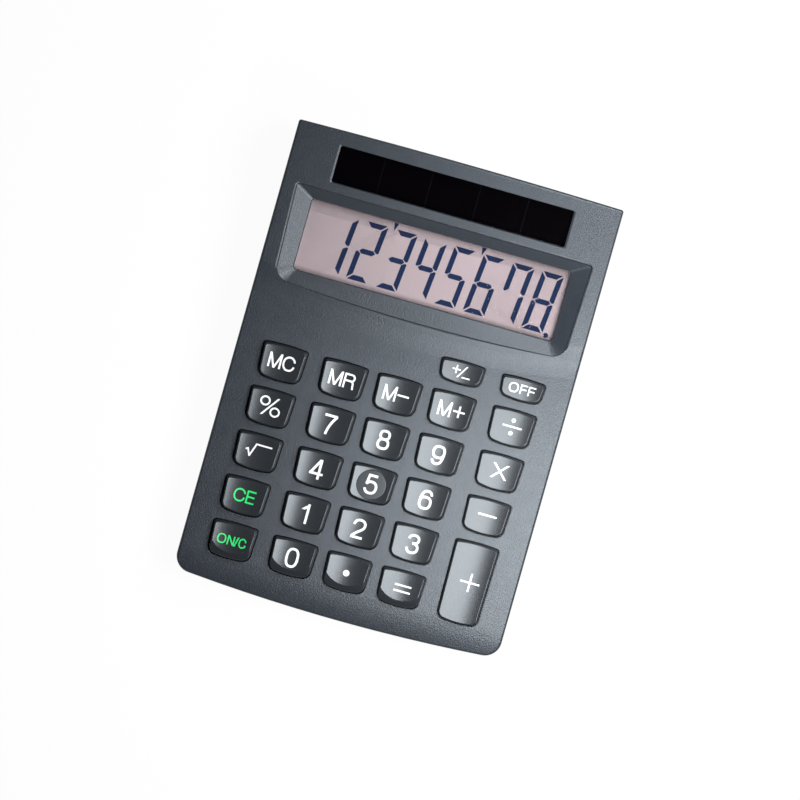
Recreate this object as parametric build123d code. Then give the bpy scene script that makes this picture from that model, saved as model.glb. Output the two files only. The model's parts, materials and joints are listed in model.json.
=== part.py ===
from build123d import *
import os
from math import cos, pi, radians, sin, tan

# Pocket calculator, all sizes in mm. X runs to the right, Y towards the display end, Z up from the table.

# ---- whole case ----
WIDTH = 87.0
LENGTH = 122.3
REAR_BOW = 0.5  # the display end bulges this far at its middle
FRONT_BOW = 1.9
REAR_CORNER = 0.9
FRONT_CORNER = 4.5
WALL = 1.8
FOOT_HEIGHT = 0.8
PARTING_Z = 6.0  # height of the seam between the two shells
WALL_DRAFT = 1.0  # degrees
EDGE_RADIUS = 0.6
RIM_BAND = 1.3  # the rim's edges all lie this close to the outer walls and top

# ---- key deck, the step behind it and the raised display panel ----
DECK_SLOPE = 4.0  # degrees
DISPLAY_SLOPE = 7.5
FRONT_ROW_Y = -48.6
DECK_HEIGHT = 11.0  # above the table, at the front row of keys
DECK_SKIN = 1.6
FRONT_EXTRA_SKIN = 1.2  # the inside drops with the rolled front
FRONT_DROP_Y = -54.4
FRONT_SKIN_Y = -57.5
DISPLAY_SKIN = 1.8
STEP_FOOT_Y = 13.6
STEP_HEAD_Y = 17.4
STEP_RISE = 1.0
STEP_BOW_RADIUS = 300.0  # the step follows the bowed lower edge of the display surround
STEP_FOOT_RADIUS = 24.0
STEP_HEAD_RADIUS = 8.0
ROLL_START_Y = -52.6  # in front of this line the deck rolls down to the front edge
ROLL_RADIUS = 40.0
ROLL_ANGLE = 16.0  # degrees, enough to pass the front edge
STEP_REACH = 30.0  # the step's slope carries on this far inside the panel
STEP_SWEEP = 20.0  # degrees of the step's arc, wider than the case

# ---- lower shell ----
SEAM_INSET = 0.3  # the lower shell is set back from the seam
BASE_DRAFT = 8.0
BASE_THICKNESS = 1.6
BASE_EDGE_RADIUS = 1.4
BASE_CORNER = 2.2
LIP_THICKNESS = 0.8
LIP_HEIGHT = 1.0
LIP_GAP = 0.1
TAB_HEIGHT = 1.8  # two taller stretches of the lip catch the front wall
TAB_WIDTH = 9.0
TAB_X = 19.0
LOFT_TOP_Z = 32.0  # height to which the upper walls are drawn before the top is cut

# ---- keys ----
COLUMN_X = [-30.6, -14.5, 0.0, 14.5, 30.6]
ROW_PITCH = 11.89
SMALL_ROW_Y = 9.1
KEY_HOLE = (12.3, 9.9)
SMALL_HOLE_HEIGHT = 6.4
TALL_HOLE_HEIGHT = 22.0
HOLE_TOP_BOW = 0.35
HOLE_FRONT_BOW = 0.6
HOLE_TAPER = 0.4  # each side leans in by this much towards the front
HOLE_TOP_CORNER = 1.0
HOLE_FRONT_CORNER = 2.4
KEY_GAP = 0.2
KEY_RISE = 1.5  # height of the top's middle above the deck
DISH_RADIUS = 29.0
ROLLED_TOP_RADIUS = 20.0
ROLLED_TOP_CREST = 2.0  # the roll of the front keys is highest this far behind the middle
ROLLED_TOP_RISE = 2.15
KEY_EDGE_RADIUS = 0.25
KEY_TOP_SKIN = 1.0
KEY_WALL = 1.1
ROLLED_CEILING = 0.2  # height of the hollow under a rolled top
KEY_LOFT_HEIGHT = 3.0
KEY_LEAN = 0.275  # narrowing of the cap on each side, for each mm of height
RIB_THICKNESS = 1.2  # rib across the hollow of the tall key
SMALL_STEM_DIAMETER = 3.4
FLANGE_WIDTH = 0.45
FLANGE_THICKNESS = 0.8
STEM_DIAMETER = 4.6
KEY_TRAVEL = 1.0
HOME_DISC_DIAMETER = 7.7  # the raised disc on the 5 key
HOME_DISC_RISE = 0.4
HOME_DISC_EDGE = 0.15

# ---- what lies under the deck, as depths below the deck's face ----
STEM_DEPTH = 3.2
MAT_DEPTH = 4.8
MAT_THICKNESS = 0.8
BOARD_DEPTH = MAT_DEPTH + MAT_THICKNESS
BOARD_THICKNESS = 1.2
PAD_THICKNESS = 0.05
DOME_BASE_DIAMETER = 8.4
DOME_TOP_DIAMETER = 5.4
DOME_SKIN = 0.8
PILL_DIAMETER = 3.2
PAD_DIAMETER = 5.0

# ---- display ----
SURROUND_TOP_WIDTH = 79.0
SURROUND_FRONT_WIDTH = 77.3
SURROUND_TOP_Y = 44.7
SURROUND_FRONT_Y = 17.9
SURROUND_FRONT_BOW = 1.5
SURROUND_TOP_CORNER = 1.0
SURROUND_FRONT_CORNER = 3.8
SURROUND_DEPTH = 2.0
SURROUND_SKIN = 0.9
RIM_EASE = (0.3, 0.08)  # the rim of an opening starts with a slight slope, this wide and deep,
RIM_WALL = (0.3, 0.5)  # and then falls off steeply by this much
THROAT_WALL = (0.2, 0.5)
VIEW_WIDTH = 68.9
VIEW_TOP_Y = 41.4
VIEW_FRONT_Y = 22.8
VIEW_TOP_CORNER = 0.5
VIEW_FRONT_CORNER = 1.0
MOST_CORNER_LOSS = 0.2  # a shrunk outline keeps its corners' radii to within this
STRAIGHT = 0.01  # bow of an edge that looks straight
WINDOW_GAP = 0.1
WINDOW_FLANGE = 1.1
WINDOW_FLANGE_THICKNESS = 0.6
GLASS_WIDTH = 71.0
GLASS_HEIGHT = 24.4
GLASS_LEDGE = 3.0  # the rear glass reaches further to the front, for the ribbon
GLASS_THICKNESS = 0.6
POLARISER_THICKNESS = 0.2
CRYSTAL_GAP = 0.1
REFLECTOR_THICKNESS = 0.3
HOLDER_GAP = 0.15
HOLDER_WALL = 1.2
HOLDER_FLOOR = 1.2
HOLDER_FRONT_Y = 18.0
EAR_REACH = 40.8  # the holder's ears end this far from the middle
EAR_LENGTH = 5.0
EAR_THICKNESS = 1.6
EAR_SCREW_X = 38.9
EAR_SCREW_Y = [24.0, 40.0]
BLOCK_HALF_WIDTH = 40.9  # the solid block under the display surround
BLOCK_FRONT_Y = 16.4
BLOCK_REAR_Y = 45.9
RIBBON_WIDTH = 52.0
RIBBON_THICKNESS = 0.15

# ---- circuit board and rubber mat ----
BOARD_WIDTH = 79.0
BOARD_FRONT_Y = -55.3
BOARD_REAR_Y = 16.4
BOARD_CORNER = 2.5
MAT_WIDTH = 77.2
MAT_FRONT_Y = -54.9
MAT_REAR_Y = 13.0
RIBBON_LANDING = 2.6  # length of the ribbon's joint on the board

# ---- small parts under the board ----
CHIP_X = 0.0
CHIP_Y = -7.0
CHIP_DIAMETER = 9.0
CHIP_HEIGHT = 1.3
CHIP_ROUNDING = 1.0
SMALL_PARTS_Y = 8.0
CAPACITOR_X = 12.0
CAPACITOR_DIAMETER = 4.0
CAPACITOR_HEIGHT = 4.6
CAPACITOR_ROUNDING = 0.4
DIODE_X = 19.0
DIODE_SIZE = (3.0, 1.5, 1.1)
RESISTOR_X = 24.0
RESISTOR_SIZE = (2.0, 1.25, 0.5)

# ---- light cell ----
SOLAR_WIDTH = 62.1
SOLAR_TOP_Y = 56.75
SOLAR_FRONT_Y = 47.05
SOLAR_EASE_X = 0.45  # the opening's rim is eased over this width at its short sides,
SOLAR_EASE_Y = 0.15  # this width at its long sides,
SOLAR_EASE_DEPTH = 0.14  # and this deep
SOLAR_CORNER = 0.5
SOLAR_DEPTH = 0.8
SOLAR_FLANGE = 0.9
SOLAR_FLANGE_THICKNESS = 0.8
CELL_THICKNESS = 1.1
LEAD_DIAMETER = 0.8
LEAD_X = 31.0
LEAD_DROP = 10.0  # the wire runs straight down from the cell towards a corner this far away
LEAD_RISE = 3.4  # and up to the board from a corner this far below it
LEAD_END_Y = 13.5
ARC_SHARE = 0.45  # share of the shorter run that an arc takes up
CELL_OVERLAP = 0.8  # the cell reaches this far past the opening on each side

# ---- screws ----
BOSS_DIAMETER = 3.4
REAR_BOSS_DIAMETER = 5.4
SCREW_DIAMETER = 1.7
SCREW_HEAD_DIAMETER = 3.2
SCREW_HEAD_HEIGHT = 1.1
SCREW_BORE_GAP = 0.25
COUNTERBORE_GAP = 0.3
MID_SCREW_X = 22.55  # middle of the wide gap between the outer columns
REAR_SCREW = (36.5, 54.8)
REAR_BOSS_JOINT_Z = 8.0
MID_BOSS_TOP_Z = 5.2
REAR_SEAT_Z = 4.0  # the screw heads sit under this height
MID_SEAT_Z = 3.4
REAR_SHANK_TOP_Z = 13.0
MID_SHANK_TOP_Z = 9.8
BOARD_SHANK_DEPTH = 2.6  # the board screws end this far below the deck's face
EAR_SHANK_DEPTH = 1.6
HOLE_SPARE = 0.5  # a clearance hole is this much wider than what passes it
BORE_SPARE = 0.04
BORE_END_GAP = 0.3
SCREW_HEAD_ROUNDING = 0.4
SCREW_SLOT_LENGTH = 1.9
SCREW_SLOT_WIDTH = 0.4
SCREW_SLOT_DEPTH = 0.6

# ---- power: button cell, its contacts and its door ----
CELL_X = -18.0
CELL_Y = 44.0
BUTTON_DIAMETER = 11.6
BUTTON_HEIGHT = 3.1
DOOR_WIDTH = 18.0
DOOR_FRONT_Y = 34.0
DOOR_THICKNESS = 1.4
DOOR_GAP = 0.15
TONGUE_WIDTH = 1.0
TONGUE_THICKNESS = 0.7
CONTACT_THICKNESS = 0.3
CONTACT_WIDTH = 3.0
BAY_GAP = 0.4
BAY_WALL = 1.0
BAY_TOP_Z = 5.6
CEILING_Z = 3.6  # top of the thick floor above the door
CEILING_MARGIN = 3.0
GRIP_GROOVES = 4
GRIP_WIDTH = 8.0
GRIP_DEPTH = 0.4
GRIP_PITCH = 1.6
CELL_GAP = 0.05
GRIP_REAR_Y = 56.0
BUTTON_CAP_HEIGHT = 0.5
BUTTON_CAP_DIAMETER = 9.8
BUTTON_ROUNDING = 0.25
POSITIVE_STRIP_Z = 6.2
LANDING_REAR_Y = 15.6
LANDING_FRONT_Y = 12.8
LANDING_RAMP = 3.0  # the strips dip under the display holder this far behind the board
LANDING_RAMP_Z = 7.6

# ---- feet ----
FOOT_DIAMETER = 8.0
FOOT_PLACES = [(-35.5, 49.5), (35.5, 49.5), (-35.0, -49.0), (35.0, -49.0)]
FOOT_POCKET = 0.4
FOOT_EDGE_RADIUS = 0.2

OVER = 1.0  # a cutting tool runs past the face it opens by this much
NEARLY_LEVEL = 0.8  # an edge whose direction rises less than this counts as level


def deck_z(y):
    return DECK_HEIGHT + (y - FRONT_ROW_Y) * tan(radians(DECK_SLOPE))


STEP_HEAD_Z = deck_z(STEP_FOOT_Y) + STEP_RISE


def display_z(y):
    return STEP_HEAD_Z + (y - STEP_HEAD_Y) * tan(radians(DISPLAY_SLOPE))


def sloped_plane(height, slope):
    return Plane(origin=(0, 0, height), x_dir=(1, 0, 0), z_dir=(0, -sin(radians(slope)), cos(radians(slope))))


DECK = sloped_plane(deck_z(0), DECK_SLOPE)
DISPLAY = sloped_plane(display_z(0), DISPLAY_SLOPE)


def deck_at(x, y, depth=0.0):
    """Place on the deck over the plan point x, y, sunk by depth along the deck's normal."""
    return DECK * Pos(x, y / cos(radians(DECK_SLOPE)), -depth)


def display_at(x, y, depth=0.0):
    return DISPLAY * Pos(x, y / cos(radians(DISPLAY_SLOPE)), -depth)


def up_slope(length):
    """Length along the display panel of a length measured in plan."""
    return length / cos(radians(DISPLAY_SLOPE))


def bowed_plate(rear_width, front_width, height, rear_bow, front_bow, rear_radius, front_radius):
    """Face about the origin whose rear and front edges bow outwards and whose corners are round."""
    rear, front = height / 2, -height / 2
    near = ThreePointArc((-front_width / 2, front + front_bow), (0, front), (front_width / 2, front + front_bow))
    far = ThreePointArc((rear_width / 2, rear - rear_bow), (0, rear), (-rear_width / 2, rear - rear_bow))
    face = make_face([near, Line(near @ 1, far @ 0), far, Line(far @ 1, near @ 0)])
    face = fillet(face.vertices().sort_by(Axis.Y)[-2:], rear_radius)
    return fillet(face.vertices().sort_by(Axis.Y)[:2], front_radius)


def case_outline(inset=0.0, rear_corner=0.4):
    return bowed_plate(
        WIDTH - 2 * inset,
        WIDTH - 2 * inset,
        LENGTH - 2 * inset,
        REAR_BOW,
        FRONT_BOW,
        max(REAR_CORNER - inset, rear_corner),
        max(FRONT_CORNER - inset, 1.5),
    )


def key_outline(height, grow=0.0):
    """Outline of a key opening, grown or, with a negative value, shrunk by the same amount all round."""
    return bowed_plate(
        KEY_HOLE[0] + 2 * grow,
        KEY_HOLE[0] - 2 * HOLE_TAPER + 2 * grow,
        height + 2 * grow,
        HOLE_TOP_BOW,
        HOLE_FRONT_BOW,
        max(HOLE_TOP_CORNER + grow, 0.4),
        max(HOLE_FRONT_CORNER + grow, 0.8),
    )


def side_prism(points, width=WIDTH + 20):
    """Prism across the case from a side view given as points (y, z)."""
    face = make_face(Polyline(*points, close=True))
    return extrude(Plane.YZ * face, width / 2, both=True)


# ---- where the keys stand ----


def row_y(row):
    """Rows count from the memory keys, row 0, to the front row, row 4."""
    return FRONT_ROW_Y + (4 - row) * ROW_PITCH


ROW_KEYS = [
    ["key_mc", "key_mr", "key_m_minus", "key_m_plus", "key_divide"],
    ["key_percent", "key_7", "key_8", "key_9", "key_multiply"],
    ["key_root", "key_4", "key_5", "key_6", "key_minus"],
    ["key_ce", "key_1", "key_2", "key_3", None],
    ["key_on_c", "key_0", "key_point", "key_equals", None],
]
ROLLED_KEYS = ["key_on_c", "key_0", "key_point", "key_equals"]


def key_places():
    """Every key's x, y and opening height, by name."""
    places = {
        "key_plus_minus": (COLUMN_X[3], SMALL_ROW_Y, SMALL_HOLE_HEIGHT),
        "key_off": (COLUMN_X[4], SMALL_ROW_Y, SMALL_HOLE_HEIGHT),
        "key_plus": (COLUMN_X[4], (row_y(3) + row_y(4)) / 2, TALL_HOLE_HEIGHT),
    }
    for row, names in enumerate(ROW_KEYS):
        for x, name in zip(COLUMN_X, names):
            if name:
                places[name] = (x, row_y(row), KEY_HOLE[1])
    return places


KEYS = key_places()

# Board screws stand in the wide gaps between key columns, and in the free corner beside the small keys.
BOARD_SCREWS = [
    (-MID_SCREW_X, row_y(0) - ROW_PITCH / 2),
    (MID_SCREW_X, row_y(0) - ROW_PITCH / 2),
    (-MID_SCREW_X, row_y(1) - ROW_PITCH / 2),
    (MID_SCREW_X, row_y(1) - ROW_PITCH / 2),
    (-MID_SCREW_X, row_y(3) - ROW_PITCH / 2),
    (-33.0, SMALL_ROW_Y),
    (-4.0, SMALL_ROW_Y),
]
MID_SCREWS = [(-MID_SCREW_X, row_y(2) - ROW_PITCH / 2), (MID_SCREW_X, row_y(2) - ROW_PITCH / 2)]
REAR_SCREWS = [(-REAR_SCREW[0], REAR_SCREW[1]), REAR_SCREW]
EAR_SCREWS = [(side * EAR_SCREW_X, y) for side in (-1, 1) for y in EAR_SCREW_Y]


def upright(x, y, diameter, bottom, top):
    """Vertical cylinder between two heights."""
    return Pos(x, y, bottom) * extrude(Circle(diameter / 2), top - bottom)


# ---- display stack depths below the display panel ----
WINDOW_DEPTH = SURROUND_DEPTH + SURROUND_SKIN
POLARISER_DEPTH = WINDOW_DEPTH + WINDOW_FLANGE_THICKNESS
FRONT_GLASS_DEPTH = POLARISER_DEPTH + POLARISER_THICKNESS
REAR_GLASS_DEPTH = FRONT_GLASS_DEPTH + GLASS_THICKNESS + CRYSTAL_GAP
REFLECTOR_DEPTH = REAR_GLASS_DEPTH + GLASS_THICKNESS
HOLDER_DEPTH = REFLECTOR_DEPTH + REFLECTOR_THICKNESS
VIEW_Y = (VIEW_TOP_Y + VIEW_FRONT_Y) / 2
VIEW_HEIGHT = up_slope(VIEW_TOP_Y - VIEW_FRONT_Y)
SURROUND_Y = (SURROUND_TOP_Y + SURROUND_FRONT_Y) / 2
SURROUND_HEIGHT = up_slope(SURROUND_TOP_Y - SURROUND_FRONT_Y)
SOLAR_Y = (SOLAR_TOP_Y + SOLAR_FRONT_Y) / 2
SOLAR_HEIGHT = up_slope(SOLAR_TOP_Y - SOLAR_FRONT_Y)


def surround_outline(grow=0.0):
    return bowed_plate(
        SURROUND_TOP_WIDTH + 2 * grow,
        SURROUND_FRONT_WIDTH + 2 * grow,
        SURROUND_HEIGHT + 2 * grow,
        STRAIGHT,
        SURROUND_FRONT_BOW,
        SURROUND_TOP_CORNER + grow,
        SURROUND_FRONT_CORNER + grow,
    )


def view_outline(grow=0.0):
    return bowed_plate(
        VIEW_WIDTH + 2 * grow,
        VIEW_WIDTH + 2 * grow,
        VIEW_HEIGHT + 2 * grow,
        STRAIGHT,
        STRAIGHT,
        VIEW_TOP_CORNER + max(grow, -MOST_CORNER_LOSS),
        VIEW_FRONT_CORNER + max(grow, -MOST_CORNER_LOSS),
    )


def surround_hopper():
    """Funnel from the display surround's rim down to the viewing area."""
    eased_width, eased_depth = RIM_EASE
    wall_width, wall_depth = RIM_WALL
    throat_width, throat_depth = THROAT_WALL
    rims = [(eased_width, 0), (0, eased_depth), (-wall_width, wall_depth)]
    rings = [display_at(0, SURROUND_Y, depth) * surround_outline(grow) for grow, depth in rims]
    throats = [(throat_width, SURROUND_DEPTH), (0, SURROUND_DEPTH + throat_depth)]
    rings += [display_at(0, VIEW_Y, depth) * view_outline(grow) for grow, depth in throats]
    stages = [loft([upper.face(), lower.face()], ruled=True) for upper, lower in zip(rings, rings[1:])]
    return sum(stages[1:], stages[0])


# ---- shells ----


def upper_block():
    """Solid outer shape of the upper shell: rolled front, key deck, bowed step and display panel."""
    reach = LENGTH
    roll = JernArc(
        start=(ROLL_START_Y, deck_z(ROLL_START_Y)),
        tangent=(-cos(radians(DECK_SLOPE)), -sin(radians(DECK_SLOPE))),
        radius=ROLL_RADIUS,
        arc_size=ROLL_ANGLE,
    )
    front = (roll @ 1).X
    deck_line = Polyline(roll @ 0, (reach, deck_z(reach)), (reach, 0), (front, 0), roll @ 1)
    deck = extrude(Plane.YZ * make_face([roll, deck_line]), WIDTH, both=True)
    panel = side_prism([(-reach, 0), (reach, 0), (reach, display_z(reach)), (-reach, display_z(-reach))])
    slant = STEP_RISE / (STEP_HEAD_Y - STEP_FOOT_Y)
    foot_z = deck_z(STEP_FOOT_Y)
    behind_step = make_face(
        Polyline(
            (STEP_FOOT_Y - foot_z / slant, 0),
            (reach, 0),
            (reach, foot_z + STEP_REACH * slant),
            (STEP_FOOT_Y + STEP_REACH, foot_z + STEP_REACH * slant),
            close=True,
        )
    )
    axis_y = STEP_HEAD_Y + STEP_BOW_RADIUS
    ring = revolve(Plane.YZ * behind_step, Axis((0, axis_y, 0), (0, 0, 1)), STEP_SWEEP)
    centred = Pos(0, axis_y, 0) * Rot(0, 0, -STEP_SWEEP / 2) * Pos(0, -axis_y, 0) * ring
    return deck + (panel & centred)


def drafted_case(bottom, top, bottom_inset, top_inset):
    """Outline of the case lofted between two heights."""
    low = Pos(0, 0, bottom) * case_outline(bottom_inset)
    high = Pos(0, 0, top) * case_outline(top_inset)
    return loft([low.face(), high.face()], ruled=True)


def is_rim(edge):
    """True for an outer edge round the top of the upper shell, where its walls begin."""
    middle = edge @ 0.5
    on_side = abs(middle.X) > WIDTH / 2 - RIM_BAND
    on_end = middle.Y > LENGTH / 2 - RIM_BAND or middle.Y < FRONT_CORNER - LENGTH / 2
    outside = middle.Z > deck_z(middle.Y) - RIM_BAND
    level = abs((edge % 0.5).Z) < NEARLY_LEVEL
    return (on_side or on_end) and outside and level


def step_edge(body, y):
    """The bowed outer edge of the step that crosses the middle of the case nearest to y."""
    across = [e for e in body.edges() if e.length > SURROUND_TOP_WIDTH and abs(e.center().X) < OVER]
    outside = [e for e in across if (e @ 0.5).Z > deck_z((e @ 0.5).Y) - OVER / 2]
    return sorted(outside, key=lambda e: abs((e @ 0.5).Y - y))[0]


def upper_hollow():
    """Space inside the upper shell, down from its skin."""
    reach = LENGTH
    deck_drop = DECK_SKIN / cos(radians(DECK_SLOPE))
    panel_drop = DISPLAY_SKIN / cos(radians(DISPLAY_SLOPE))
    front_drop = deck_drop + FRONT_EXTRA_SKIN
    points = [
        (-reach, 0),
        (-reach, deck_z(ROLL_START_Y) - front_drop),
        (FRONT_SKIN_Y, deck_z(ROLL_START_Y) - front_drop),
        (FRONT_DROP_Y, deck_z(FRONT_DROP_Y) - deck_drop),
        (STEP_FOOT_Y, deck_z(STEP_FOOT_Y) - deck_drop),
        (STEP_HEAD_Y, display_z(STEP_HEAD_Y) - panel_drop),
        (reach, display_z(reach) - panel_drop),
        (reach, 0),
    ]
    return side_prism(points) & drafted_case(0, LOFT_TOP_Z, WALL, WALL)


def display_block():
    """Solid block under the display surround, which the holder is screwed to."""
    middle_y = (BLOCK_REAR_Y + BLOCK_FRONT_Y) / 2
    face = Rectangle(2 * BLOCK_HALF_WIDTH, up_slope(BLOCK_REAR_Y - BLOCK_FRONT_Y))
    return display_at(0, middle_y, WINDOW_DEPTH) * extrude(face, WINDOW_DEPTH - SURROUND_SKIN)


def deck_boss(x, y):
    """Boss under the deck for a board screw, standing on the board."""
    return deck_at(x, y, BOARD_DEPTH) * extrude(Circle(BOSS_DIAMETER / 2), BOARD_DEPTH - DECK_SKIN)


def deck_layer(top_depth, bottom_depth):
    """Slab parallel to the deck between two depths."""
    slab = Rectangle(2 * WIDTH, 2 * LENGTH)
    return deck_at(0, 0, bottom_depth) * extrude(slab, bottom_depth - top_depth)


def case_boss(x, y):
    """Boss under the deck for a case screw. It is upright, and cut off along the board."""
    whole = upright(x, y, BOSS_DIAMETER, PARTING_Z - OVER, deck_z(y))
    return whole & deck_layer(DECK_SKIN - OVER / 2, BOARD_DEPTH)


def rear_boss(x, y):
    return upright(x, y, REAR_BOSS_DIAMETER, REAR_BOSS_JOINT_Z, display_z(y) - DISPLAY_SKIN)


def upper_skin():
    """Hollow upper shell with its step and rim rounded, before anything is cut into it."""
    lean = (LOFT_TOP_Z - PARTING_Z) * tan(radians(WALL_DRAFT))
    body = upper_block() & drafted_case(PARTING_Z, LOFT_TOP_Z, 0, lean)
    body -= upper_hollow()
    body = fillet(step_edge(body, STEP_FOOT_Y), STEP_FOOT_RADIUS)
    body = fillet(step_edge(body, STEP_HEAD_Y), STEP_HEAD_RADIUS)
    return fillet(body.edges().filter_by(is_rim), EDGE_RADIUS)


def upper_case():
    shell = upper_skin() + display_block()
    shell -= surround_hopper()
    shell -= display_at(0, VIEW_Y, WINDOW_DEPTH + OVER) * extrude(view_outline(), WINDOW_DEPTH + OVER)
    solar_slot = RectangleRounded(SOLAR_WIDTH, SOLAR_HEIGHT, SOLAR_CORNER)
    shell -= display_at(0, SOLAR_Y, 2 * DISPLAY_SKIN) * extrude(solar_slot, 3 * DISPLAY_SKIN)
    eased = RectangleRounded(SOLAR_WIDTH + 2 * SOLAR_EASE_X, SOLAR_HEIGHT + 2 * SOLAR_EASE_Y, SOLAR_CORNER)
    mouth = [display_at(0, SOLAR_Y) * eased, display_at(0, SOLAR_Y, SOLAR_EASE_DEPTH) * solar_slot]
    shell -= loft([ring.face() for ring in mouth], ruled=True)
    for x, y, height in KEYS.values():
        shell -= deck_at(x, y, DECK_SKIN + OVER) * extrude(key_outline(height), DECK_SKIN + 2 * OVER)
    for x, y in BOARD_SCREWS:
        shell += deck_boss(x, y)
        bore = extrude(Circle(SCREW_DIAMETER / 2 + BORE_SPARE / 2), BOARD_DEPTH - BOARD_SHANK_DEPTH + BORE_END_GAP)
        shell -= deck_at(x, y, BOARD_DEPTH) * bore
    for x, y in MID_SCREWS:
        shell += case_boss(x, y)
        shell -= upright(x, y, SCREW_DIAMETER + BORE_SPARE, PARTING_Z - OVER, MID_SHANK_TOP_Z + BORE_END_GAP)
    for x, y in REAR_SCREWS:
        shell += rear_boss(x, y)
        shell -= upright(x, y, SCREW_DIAMETER + BORE_SPARE, PARTING_Z, REAR_SHANK_TOP_Z + BORE_END_GAP)
    for x, y in EAR_SCREWS:
        bore = extrude(Circle(SCREW_DIAMETER / 2 + BORE_SPARE / 2), WINDOW_DEPTH - EAR_SHANK_DEPTH + BORE_END_GAP)
        shell -= display_at(x, y, WINDOW_DEPTH) * bore
    return shell


def base_shape():
    """Outside of the lower shell, solid."""
    lean = (PARTING_Z - FOOT_HEIGHT) * tan(radians(BASE_DRAFT))
    low = Pos(0, 0, FOOT_HEIGHT) * case_outline(SEAM_INSET + lean, BASE_CORNER)
    high = Pos(0, 0, PARTING_Z) * case_outline(SEAM_INSET, BASE_CORNER)
    solid = loft([low.face(), high.face()], ruled=True)
    return fillet(solid.faces().sort_by(Axis.Z)[0].edges(), BASE_EDGE_RADIUS)


def lip_ring(height):
    """Ring that stands on the lower shell just inside the upper one's walls."""
    outer = WALL + LIP_GAP
    face = case_outline(outer) - case_outline(outer + LIP_THICKNESS)
    return Pos(0, 0, PARTING_Z - OVER) * extrude(face, OVER + height)


def box_between(x0, x1, y0, y1, z0, z1):
    return Pos((x0 + x1) / 2, (y0 + y1) / 2, (z0 + z1) / 2) * Box(x1 - x0, y1 - y0, z1 - z0)


FLOOR_Z = FOOT_HEIGHT + BASE_THICKNESS
DOOR_TOP_Z = FOOT_HEIGHT + DOOR_THICKNESS
CELL_BOTTOM_Z = DOOR_TOP_Z + CELL_GAP
CELL_TOP_Z = CELL_BOTTOM_Z + BUTTON_HEIGHT
BAY_HALF = BUTTON_DIAMETER / 2 + BAY_GAP


def door_slab(half_width, front, bottom, top):
    """Slab on the door's line that runs out past the rear of the case."""
    return box_between(CELL_X - half_width, CELL_X + half_width, front, LENGTH, bottom, top)


def lower_case():
    shell = base_shape()
    shell -= drafted_case(FLOOR_Z, LOFT_TOP_Z, WALL + LIP_GAP + LIP_THICKNESS, WALL + LIP_GAP + LIP_THICKNESS)
    shell += lip_ring(LIP_HEIGHT)
    for x in (-TAB_X, TAB_X):
        shell += lip_ring(TAB_HEIGHT) & box_between(
            x - TAB_WIDTH / 2, x + TAB_WIDTH / 2, -LENGTH / 2, -LENGTH / 4, 0, LOFT_TOP_Z
        )
    door_half = DOOR_WIDTH / 2
    ceiling_half = door_half + CEILING_MARGIN
    shell += box_between(
        CELL_X - ceiling_half,
        CELL_X + ceiling_half,
        DOOR_FRONT_Y - CEILING_MARGIN,
        LENGTH / 2 - WALL - OVER,
        FLOOR_Z - OVER / 2,
        CEILING_Z,
    )
    walls = BAY_HALF + BAY_WALL
    shell += box_between(
        CELL_X - walls, CELL_X + walls, CELL_Y - walls, CELL_Y + walls, CEILING_Z - OVER, BAY_TOP_Z
    )
    shell -= box_between(
        CELL_X - BAY_HALF, CELL_X + BAY_HALF, CELL_Y - BAY_HALF, CELL_Y + BAY_HALF, 0, BAY_TOP_Z + OVER
    )
    shell -= door_slab(door_half + DOOR_GAP, DOOR_FRONT_Y - DOOR_GAP, 0, DOOR_TOP_Z + DOOR_GAP)
    shell -= door_slab(
        door_half + TONGUE_WIDTH + DOOR_GAP,
        DOOR_FRONT_Y - DOOR_GAP,
        DOOR_TOP_Z - TONGUE_THICKNESS - DOOR_GAP,
        DOOR_TOP_Z + DOOR_GAP,
    )
    for x, y in MID_SCREWS:
        shell += upright(x, y, REAR_BOSS_DIAMETER, FLOOR_Z - OVER, MID_BOSS_TOP_Z)
        shell -= upright(x, y, SCREW_HEAD_DIAMETER + HOLE_SPARE, 0, MID_SEAT_Z)
        shell -= upright(x, y, SCREW_DIAMETER + HOLE_SPARE, 0, MID_BOSS_TOP_Z + OVER)
    for x, y in REAR_SCREWS:
        shell += upright(x, y, REAR_BOSS_DIAMETER, FLOOR_Z - OVER, REAR_BOSS_JOINT_Z)
        shell -= upright(x, y, SCREW_HEAD_DIAMETER + HOLE_SPARE, 0, REAR_SEAT_Z)
        shell -= upright(x, y, SCREW_DIAMETER + HOLE_SPARE, 0, REAR_BOSS_JOINT_Z + OVER)
    for x, y in FOOT_PLACES:
        shell -= upright(x, y, FOOT_DIAMETER, 0, FOOT_HEIGHT + FOOT_POCKET)
    return shell


# ---- keys ----


def key_top(height, rolled, home):
    """Upper body of a key cap, leaning in towards a dished top, which may also roll down to the front."""
    foot = key_outline(height, -KEY_GAP)
    head = Pos(0, 0, KEY_LOFT_HEIGHT) * key_outline(height, -KEY_GAP - KEY_LEAN * KEY_LOFT_HEIGHT)
    cap = loft([foot.face(), head.face()], ruled=True)
    dish = Rot(90, 0, 0) * Cylinder(DISH_RADIUS, WIDTH)
    cap -= Pos(0, 0, KEY_RISE + DISH_RADIUS) * dish
    if rolled:
        roll = Rot(0, 90, 0) * Cylinder(ROLLED_TOP_RADIUS, WIDTH)
        cap &= Pos(0, ROLLED_TOP_CREST, ROLLED_TOP_RISE - ROLLED_TOP_RADIUS) * roll
    high_edges = cap.edges().filter_by(lambda e: (e @ 0.5).Z > KEY_RISE / 2)
    top_edges = high_edges.filter_by(lambda e: abs((e % 0.5).Z) < NEARLY_LEVEL)
    cap = fillet(top_edges, KEY_EDGE_RADIUS)
    if home:
        disc = extrude(Circle(HOME_DISC_DIAMETER / 2), KEY_RISE + HOME_DISC_RISE)
        cap += fillet(disc.faces().sort_by(Axis.Z)[-1].edges(), HOME_DISC_EDGE)
    return cap


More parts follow.
